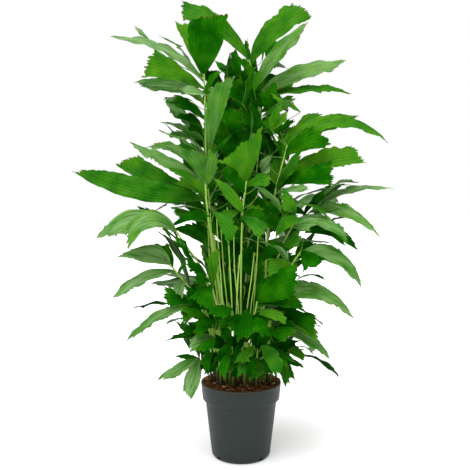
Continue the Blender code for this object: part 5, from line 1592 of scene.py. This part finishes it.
class PalmLeafLooks(bpy.types.PropertyGroup):
    """Colours and fine sizes of leaflets and stalks."""

    # A leaflet's green is partly its own tone, partly painted light and shade: lit leaflets take the brighter
    # greens.
    deep: colour("Deep Green", "The darkest leaflets' upper side", 0x033C00)
    dark: colour("Dark Green", "Old leaflets' upper side", 0x126002)
    middle: colour("Middle Green", "Most leaflets' upper side", 0x2E7808)
    bright: colour("Bright Green", "Young leaflets' upper side", 0x529210)
    light: colour("Light Green", "The youngest leaflets, and light that comes through", 0x7AB024)
    # These colours also serve as the painted sheen on the upper side of some leaflets.
    underside: colour("Underside", "A leaflet's underside", 0x7AA858)
    underside_vein: colour("Underside Veins", "The veins of a leaflet's underside", 0xB2CC9E)
    stalk: colour("Stalk", "A stalk above its foot", 0x9CCC48)
    stalk_light: colour("Stalk Fibres", "The pale fibres along a stalk", 0xCCE490)
    stalk_sheath: colour("Stalk Sheath", "A stalk just above its foot", 0x46541C)
    stalk_foot: colour("Stalk Foot", "A stalk where it leaves the compost", 0x2C2412)
    let_through: share("Light Let Through", "How much of the light goes through a leaflet", 0.16)
    thickness: length("Thickness", "A leaflet's thickness", 0.00065)
    pleat: length("Pleat Width", "From one pleat of a leaflet to the next", 0.012)
    pleat_depth: length("Pleat Depth", "How far a pleat rises", 0.0007)
    nick: length("Nick Depth", "The deepest small nick in a leaflet's end", 0.010)
    tear: length("Tear Depth", "The deepest notch in a leaflet's side edge", 0.008)
    ruffle: length("Ruffle Length", "From one ruffle of a leaflet's side edge to the next", 0.075)
    ruffle_depth: length("Ruffle Depth", "How far a ruffle rises", 0.0035)
    # Painted shade: how much darker the green of leaflets low inside the clump is made.
    inner_shade: share("Inner Shade", "How much darker the old leaflets low inside the clump are", 0.22)
    pale_below: share("Pale Below", "How pale the underside of a green leaflet is", 0.72)
    vein_gap: length("Vein Gap", "From one vein to the next, drawn wider than life so that it shows", 0.0034)
    swelling: share("Swelling", "How much thicker a stalk is where a leaflet roots", 0.25)
    stalk_sides: amount("Stalk Sides", "Points round a stalk", 10, 5, 32)
    stalk_rings: amount("Stalk Rings", "Rings to each stretch of a stalk", 12, 4, 40)


class PalmPotLooks(bpy.types.PropertyGroup):
    """Colours and fine sizes of the nursery pot."""

    wall: colour("Wall", "The plastic of the wall", 0x212A26)
    band: colour("Band", "The plastic of the rim band", 0x222C28)
    dust: colour("Dust", "A thin cloudy film on the plastic", 0x343C38)
    # The lip's colour is compost stain with a painted highlight along the top edge.
    lip: colour("Lip", "The lip, stained by compost", 0x6B5B4A)
    edge: length("Edge Radius", "How round the pot's edges are", 0.0016)
    sides: amount("Sides", "Points round the pot", 144, 32, 512)


class PalmCompostLooks(bpy.types.PropertyGroup):
    """Colours and amounts of the compost."""

    # Painted shade: the colour that the compost takes in its hollows.
    dark: colour("Hollows", "The dark hollows", 0x1E0F06)
    brown: colour("Coir", "The brown coir", 0x6E3A18)
    tan: colour("Bark", "The lighter bark", 0xBC7C46)
    pale: colour("Pale Chips", "The palest chips", 0xF0E2C0)
    lump: length("Lump Height", "How high the lumps stand", 0.0026)
    chip: length("Chip Length", "The longest bark chip", 0.013)
    chips: amount("Chips", "How many bark chips lie on top", 1100)
    fibres: amount("Fibres", "How many coir fibres stick out", 420)


class PalmStageLooks(bpy.types.PropertyGroup):
    """The floor, the light and the camera."""

    floor: colour("Floor", "The paper floor", 0xF4F4F4)
    floor_glow: share("Floor Glow", "The floor's own light, which keeps it white", 0.18)
    sky: share("Sky Light", "Light of the room and its ceiling", 0.56)
    sun: bpy.props.FloatProperty(
        name="Key Light", description="Strength of the soft key light", default=3.0, min=0)
    softness: bpy.props.FloatProperty(
        name="Softness", description="How wide the key light is", subtype="ANGLE", default=math.radians(56))
    lens: bpy.props.FloatProperty(
        name="Lens", description="The camera's focal length on a 36 mm sensor", unit="CAMERA", default=47.7)


# Tones of leaflets: the brightness of the green, and how pale the side is that a tilt above 0 turns to the
# eye.
# The brightness is partly painted light and shade: leaflets in the light have the brighter tones, and those
# in shade the darker. k is nearly black, d dark, m middle and b bright. u shows its underside, and s and h
# are partly pale with painted sheen.
TONES = {
    "k": (0.02, 0.0),
    "d": (0.19, 0.0),
    "m": (0.40, 0.06),
    "b": (0.52, 0.05),
    "u": (0.42, 1.0),
    "s": (0.44, 0.66),
    "h": (0.42, 0.34),
}

# One tone for each leaflet of a drawn frond in the table's order, set partly by how much light falls on it,
# and the tones of the other fronds in turn.
LEAFLET_TONES = {
    "frond_crown_left": "dbummsdd",
    "frond_crown_right": "mmsddsmbsd",
    "frond_right_arch": "mmddbdmub",
    "frond_right_reach": "udsd",
    "frond_right_low_arch": "ssdd",
    "frond_right_dark": "dsdm",
    "frond_right_broad": "ddsmd",
    "frond_right_skirt": "dmsd",
    "frond_right_foot": "mumdd",
    "frond_left_reach": "smmm",
    "frond_tall_strap": "hssmm",
    "frond_left_shade": "suudd",
    "frond_left_droop": "udds",
    "frond_left_tail": "ududu",
    "frond_left_inner": "dddm",
    "frond_left_broad": "dsdm",
    "frond_left_skirt": "dddud",
    "frond_left_foot": "sudd",
    "frond_middle_fan": "bmdd",
    "frond_middle_low": "mmdd",
}
SPARE_TONES = "dkmdks"


@functools.cache
def grown():
    """All the fronds, set out and bent clear of each other: their names, stalks and blades."""
    plan = set_out()
    clear_stalks(plan)
    return thicken_clump(clear_blades(plan))


@functools.cache
def frond_materials():
    """The materials that all fronds share, as LEAF_MATERIAL and STALK_MATERIAL count them."""
    looks = bpy.context.scene.palm_leaves
    return fresh_palm_leaf(looks), fresh_palm_stalk(looks)


def grow(chosen):
    """Makes the fine piece of each frond that is chosen by name, to stand for its node in the frame."""
    looks = bpy.context.scene.palm_leaves
    for name, stalk, blades in grown():
        if not chosen(name):
            continue
        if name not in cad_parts:
            raise RuntimeError(f"the frame has no {name}")
        skin = Skin()
        tones = LEAFLET_TONES.get(name, SPARE_TONES)
        for blade in blades:
            leaf_skin(skin, blade, tones[blade.seed[-1] % len(tones)], looks)
            if blade.twig is not None:
                twig_skin(skin, blade)
        stalk_skin(skin, stalk, [blade for blade in blades if blade.twig is None], looks)
        if name == SPEAR_FROND:
            for foot, points in SPEARS:
                stalk_skin(skin, Stalk(foot, [seen(*point) for point in points]), (), looks, SPEAR)
        piece = skin.to_object(f"{name}_leafy", frond_materials())
        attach(piece, "root")
        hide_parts(name)


def pot_profile(edge):
    """The pot's profiles outside, from the lip down, and inside, back up to it, with all corners rounded."""
    outside = [(RIM_RADIUS - WALL, RIM_HEIGHT), (RIM_RADIUS, RIM_HEIGHT),
               (BAND_RADIUS + 0.0006, BAND_FOOT + 0.001), (STEP_RADIUS + 0.0014, STEP_FOOT + 0.004),
               (STEP_RADIUS, STEP_FOOT)]
    turn = np.linspace(0, math.pi / 2, 9)
    foot = np.column_stack((FOOT_RADIUS - 0.011 * (1 - np.cos(turn)), FOOT_CURVE * (1 - np.sin(turn))))
    ring = [(FOOT_RADIUS - 0.013, 0.0), (FOOT_RADIUS - 0.017, 0.0016), (0.002, 0.0016)]
    inside = [(0.002, WALL), (FOOT_RADIUS - 0.014, WALL), (FOOT_RADIUS - WALL, FOOT_CURVE + 0.002),
              (STEP_RADIUS - WALL, STEP_FOOT + 0.001), (BAND_RADIUS - WALL - 0.0006, BAND_FOOT + 0.001),
              (RIM_RADIUS - WALL, RIM_HEIGHT)]
    return rounded(outside + foot.tolist() + ring, edge, 5), rounded(inside, edge, 5)


def make_pot(looks):
    """The pot: both profiles turned round Z as one shell, with drain holes cut through its foot."""
    outside, inside = pot_profile(looks.edge)
    skin = Skin()
    skin.add(*turned(np.vstack((outside, inside[:-1])), looks.sides))
    pot = skin.to_object("pot_moulded", [moulded_polypropylene(looks)])
    cutter_mesh = bmesh.new()
    high = DRAIN_HEIGHT + DRAIN_ARCH
    for k in range(DRAIN_COUNT):
        heading = DRAIN_TURN + (k + 0.5) * 2 * math.pi / DRAIN_COUNT
        size = Matrix.Diagonal((DRAIN_CUT, DRAIN_WIDTH, high, 1))
        out = Matrix.Translation((FOOT_RADIUS - 0.002, 0, DRAIN_SILL + high / 2))
        bmesh.ops.create_cube(cutter_mesh, size=1, matrix=Matrix.Rotation(heading, 4, "Z") @ out @ size)
    mesh = bpy.data.meshes.new("drain_holes")
    cutter_mesh.to_mesh(mesh)
    cutter_mesh.free()
    cutter = link("drain_holes", mesh)
    change = pot.modifiers.new("drain_holes", "BOOLEAN")
    change.operation = "DIFFERENCE"
    change.object = cutter
    evaluated = pot.evaluated_get(bpy.context.evaluated_depsgraph_get())
    cut = bpy.data.meshes.new_from_object(evaluated)
    pot.modifiers.clear()
    pot.data = cut
    bpy.data.objects.remove(cutter)
    cut.shade_smooth()
    cut.set_sharp_from_angle(angle=math.radians(40))
    return pot


def compost_top(x, y, lump):
    """The compost's height at a place: a low crown, with lumps and crumbs that are lower near the wall."""
    spot = np.column_stack((x, y))
    out = np.hypot(x, y) / RIM_RADIUS
    lumps, crumbs = (waves(spot, pitch, LUMP_WAVES, start)
                     for pitch, start in ((LUMP_PITCH, LUMP_DRAW), (CRUMB_PITCH, CRUMB_DRAW)))
    rough = lumps * 0.75 + crumbs * 0.4
    return SOIL_EDGE + SOIL_CROWN * (1 - out**2) + lump * rough * np.clip((1.0 - out) * 9, 0.25, 1)


def toned(tone):
    """A patch's values when only their tone matters."""
    return np.column_stack((tone, np.zeros((len(tone), 3))))


def compost_body(skin, looks):
    """The compost's body: a round grid whose top follows compost_top, and plain dark sides inside the pot."""
    top = turned_grid(np.linspace(0.0005, RIM_RADIUS - WALL - 0.0016, COMPOST_RINGS), 0.0, COMPOST_SIDES)
    x, y = top.reshape(-1, 3)[:, :2].T
    top[:, :, 2] = compost_top(x, y, looks.lump).reshape(top.shape[:2])
    radius, height = np.array((
        (BAND_RADIUS - WALL - 0.0022, BAND_FOOT + 0.001),
        (STEP_RADIUS - WALL - 0.0016, STEP_FOOT + 0.001),
        (FOOT_RADIUS - WALL - 0.0014, FOOT_CURVE + 0.002),
        (FOOT_RADIUS - 0.0135, WALL + 0.0006),
    )).T
    grid = np.concatenate((top, turned_grid(radius, height[:, None], COMPOST_SIDES)))
    poles = [(0, 0, top[0, :, 2].mean()), (0, 0, height[-1])]
    points = np.vstack((grid.reshape(-1, 3), poles))
    tone = 0.30 + 0.16 * waves(points, TONE_PITCH, TONE_WAVES, TONE_DRAW)
    # Painted shade: the sides inside the pot take the lowest tone and are dark.
    tone = tone * (points[:, 2] > BAND_FOOT)
    skin.add(points, turned_faces(len(grid), COMPOST_SIDES), values=toned(np.clip(tone, 0, 1)))


def turn_frames(draw, count, steepest):
    """Three square directions for each of many pieces, at a random heading and a rise up to the steepest."""
    heading, rise = draw.uniform(0, 2 * math.pi, count), draw.uniform(-steepest, steepest, count)
    roll = draw.uniform(-steepest, steepest, count)
    way = np.column_stack((np.cos(heading) * np.cos(rise), np.sin(heading) * np.cos(rise), np.sin(rise)))
    level = np.column_stack((-np.sin(heading), np.cos(heading), np.zeros(count)))
    up = np.cross(way, level)
    side = level * np.cos(roll)[:, None] + up * np.sin(roll)[:, None]
    return way, side, np.cross(way, side)


def repeated(faces, size, count):
    """One piece's faces for each of many alike, whose points follow one another, size to a piece."""
    return (faces[None] + size * np.arange(count)[:, None, None]).reshape(-1, faces.shape[1])


def scatter(draw, count, out):
    """Random places in a round, evenly over its area."""
    turn, far = draw.uniform(0, 2 * math.pi, count), out * np.sqrt(draw.uniform(0, 1, count))
    return far * np.cos(turn), far * np.sin(turn)


def bark_chips(skin, looks):
    """Chips of bark, laid at random on the compost's top.

    Each is a small bent slab: a grid of points that narrows to its ends, on both sides, with walls.
    """
    draw = np.random.default_rng(CHIP_DRAW)
    count, rows, columns = looks.chips, 4, 3
    half = rows * columns
    u, v = np.meshgrid(np.linspace(-1, 1, rows), np.linspace(-1, 1, columns), indexing="ij")
    u, v = u.ravel(), v.ravel()
    narrow = 1 - 0.45 * u**2
    sheet_points = np.column_stack((u * 0.5, v * 0.5 * narrow, 0.10 * (1 - u**2)))
    thick = np.array((0, 0, 0.5))
    size = looks.chip * draw.uniform(0.30, 1.0, count) ** 1.3
    broad, high = draw.uniform(0.25, 0.6, count), draw.uniform(0.10, 0.22, count)
    scale = np.column_stack((size, size * broad, size * high))
    both = np.concatenate((sheet_points + thick, sheet_points - thick))
    both = both[None] * (1 + 0.18 * draw.uniform(-1, 1, (count, 2 * half, 3)))
    x, y = scatter(draw, count, RIM_RADIUS - 0.008)
    z = compost_top(x, y, looks.lump) + scale[:, 2] * draw.uniform(0.0, 1.0, count)
    way, side, up = turn_frames(draw, count, math.radians(28))
    local = both * scale[:, None, :]
    points = (np.column_stack((x, y, z))[:, None] + local[:, :, :1] * way[:, None]
              + local[:, :, 1:2] * side[:, None] + local[:, :, 2:] * up[:, None])
    top = grid_faces(rows, columns)[:, ::-1]
    rim, after = grid_rim(rows, columns)
    walls = np.stack((rim, after, after + half, rim + half), axis=1)
    faces = np.vstack((top, top[:, ::-1] + half, walls))
    tone = np.repeat(np.clip(draw.beta(1.5, 2.2, count) * 1.30, 0, 1.2), 2 * half)
    skin.add(points, [repeated(faces, 2 * half, count)], values=toned(tone))


def coir_fibres(skin, looks):
    """Coir fibres: thin three-sided tubes along start + way * size * t, arched up by bend * 4 t (1 - t)."""
    draw = np.random.default_rng(FIBRE_DRAW)
    count, rows, sides = looks.fibres, 6, 3
    x, y = scatter(draw, count, RIM_RADIUS - 0.012)
    start = np.column_stack((x, y, compost_top(x, y, looks.lump)))
    way, side, up = turn_frames(draw, count, math.radians(24))
    t = np.linspace(0, 1, rows)
    size, bend = draw.uniform(0.006, 0.020, count), draw.uniform(0.001, 0.010, count)
    line = (start[:, None] + way[:, None] * (size[:, None] * t)[..., None]
            + np.array((0, 0, 1.0)) * (bend[:, None] * 4 * t * (1 - t))[..., None])
    turn = round_turns(sides)
    thick = (draw.uniform(0.00022, 0.0004, count)[:, None] * (1 - 0.7 * t))[:, :, None, None]
    ring = np.cos(turn)[:, None] * side[:, None, None] + np.sin(turn)[:, None] * up[:, None, None]
    points = line[:, :, None] + thick * ring
    groups = [repeated(group, rows * sides, count) for group in tube_faces(rows, sides)]
    tone = np.repeat(draw.uniform(0.25, 0.95, count), rows * sides)
    skin.add(points, groups, values=toned(tone))


class PALM_OT_pot(bpy.types.Operator):
    """Makes the moulded nursery pot that stands for the pot in the frame"""

    bl_idname = "palm.pot"
    bl_label = "Make Nursery Pot"

    def execute(self, context):
        pot = make_pot(context.scene.palm_pot)
        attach(pot, "root")
        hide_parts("pot")
        return {"FINISHED"}


class PALM_OT_compost(bpy.types.Operator):
    """Makes the lumpy compost with its bark chips and coir fibres"""

    bl_idname = "palm.compost"
    bl_label = "Make Compost"

    def execute(self, context):
        looks = context.scene.palm_compost
        skin = Skin()
        compost_body(skin, looks)
        bark_chips(skin, looks)
        coir_fibres(skin, looks)
        compost = skin.to_object("compost_loose", [coir_and_bark(looks)], sharp=70.0)
        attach(compost, "root")
        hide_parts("compost")
        return {"FINISHED"}


class PALM_OT_drawn_fronds(bpy.types.Operator):
    """Grows the fronds of the front and the sides"""

    bl_idname = "palm.drawn_fronds"
    bl_label = "Grow Front and Side Fronds"

    def execute(self, context):
        grow(lambda name: name in LEAFLET_TONES)
        return {"FINISHED"}


class PALM_OT_suckers(bpy.types.Operator):
    """Grows the short leafy suckers at the front"""

    bl_idname = "palm.suckers"
    bl_label = "Grow Suckers"

    def execute(self, context):
        grow(lambda name: name.startswith("sucker"))
        return {"FINISHED"}


class PALM_OT_back_fronds(bpy.types.Operator):
    """Grows the fronds of the back"""

    bl_idname = "palm.back_fronds"
    bl_label = "Grow Back Fronds"

    def execute(self, context):
        grow(lambda name: name.startswith("frond_back"))
        return {"FINISHED"}


class PALM_OT_stage(bpy.types.Operator):
    """Lays the paper floor and sets the light and the camera"""

    bl_idname = "palm.stage"
    bl_label = "Set Stage"

    def execute(self, context):
        looks = context.scene.palm_stage
        lay_floor(looks)
        set_light(looks)
        set_camera(looks)
        return {"FINISHED"}


def lay_floor(looks):
    """A wide flat sheet of paper under the pot."""
    mesh = bpy.data.meshes.new("floor")
    half = FLOOR_HALF
    corners = [(-half, -half, 0), (half, -half, 0), (half, half, 0), (-half, half, 0)]
    mesh.from_pydata(corners, [], [(0, 1, 2, 3)])
    mesh.materials.append(plain_paper(looks))
    link("floor", mesh)


def set_light(looks):
    """The light of a room with a bright ceiling, which the camera sees as white, and a soft key light."""
    scene = bpy.context.scene
    scene.view_settings.view_transform = "Standard"
    scene.world = bpy.data.worlds.new("white_room")
    scene.world.use_nodes = True
    tree = scene.world.node_tree
    tree.nodes.clear()
    seen_straight = node(tree, "ShaderNodeLightPath").outputs["Is Camera Ray"]
    way = node(tree, "ShaderNodeTexCoord").outputs["Generated"]
    _, away, up = node(tree, "ShaderNodeSeparateXYZ", {0: way}).outputs
    room = maths(tree, "MULTIPLY_ADD", away, ROOM_BEYOND, ROOM_LIGHT)
    span = {0: up, 1: CEILING_FROM, 2: CEILING_FULL}
    above = node(tree, "ShaderNodeMapRange", span, interpolation_type="SMOOTHSTEP").outputs[0]
    room = maths(tree, "MULTIPLY_ADD", above, CEILING_LIGHT, room)
    strength = maths(tree, "MULTIPLY", room, looks.sky)
    even = node(tree, "ShaderNodeBackground", {"Color": (1, 1, 1, 1), "Strength": strength}).outputs[0]
    white = node(tree, "ShaderNodeBackground", {"Color": (1, 1, 1, 1), "Strength": 1.0}).outputs[0]
    mixed = node(tree, "ShaderNodeMixShader", {0: seen_straight, 1: even, 2: white}).outputs[0]
    node(tree, "ShaderNodeOutputWorld", {"Surface": mixed})
    key = bpy.data.lights.new("key_light", "SUN")
    key.energy = looks.sun
    key.angle = looks.softness
    lamp = link("key_light", key)
    lamp.rotation_euler = Vector(KEY_WAY).to_track_quat("-Z", "Y").to_euler()


def set_camera(looks):
    """The camera at the photo's place: at EYE, looking straight along Y and pitched a little down."""
    lens = bpy.data.cameras.new("camera")
    lens.sensor_width = 36.0
    lens.lens = looks.lens
    lens.clip_end = 200.0
    camera = link("camera", lens)
    camera.location = EYE
    camera.rotation_euler = (math.radians(90) - SIGHT_PITCH, 0, 0)
    bpy.context.scene.camera = camera


class PALM_PT_panel(bpy.types.Panel):
    """Lists the operators and the looks"""

    bl_idname = "PALM_PT_panel"
    bl_label = "Potted Fishtail Palm"
    bl_space_type = "VIEW_3D"
    bl_region_type = "UI"
    bl_category = "Palm"

    def draw(self, context):
        for made in OPERATORS:
            self.layout.operator(made.bl_idname)
        for store, group in LOOKS.items():
            box = self.layout.box()
            box.label(text=group.__doc__.split("\n")[0])
            for name in group.__annotations__:
                box.prop(getattr(context.scene, store), name)


LOOKS = {
    "palm_leaves": PalmLeafLooks,
    "palm_pot": PalmPotLooks,
    "palm_compost": PalmCompostLooks,
    "palm_stage": PalmStageLooks,
}
OPERATORS = (
    PALM_OT_stage,
    PALM_OT_pot,
    PALM_OT_compost,
    PALM_OT_drawn_fronds,
    PALM_OT_suckers,
    PALM_OT_back_fronds,
)
CLASSES = (*LOOKS.values(), *OPERATORS, PALM_PT_panel)


def register():
    for made in CLASSES:
        bpy.utils.register_class(made)
    for store, group in LOOKS.items():
        setattr(bpy.types.Scene, store, bpy.props.PointerProperty(type=group))


def unregister():
    for store in LOOKS:
        delattr(bpy.types.Scene, store)
    for made in reversed(CLASSES):
        bpy.utils.unregister_class(made)


def main():
    """Registers the classes and runs the operators in order."""
    register()
    bpy.ops.palm.stage()
    bpy.ops.palm.pot()
    bpy.ops.palm.compost()
    bpy.ops.palm.drawn_fronds()
    bpy.ops.palm.suckers()
    bpy.ops.palm.back_fronds()


if __name__ == "__main__":
    main()
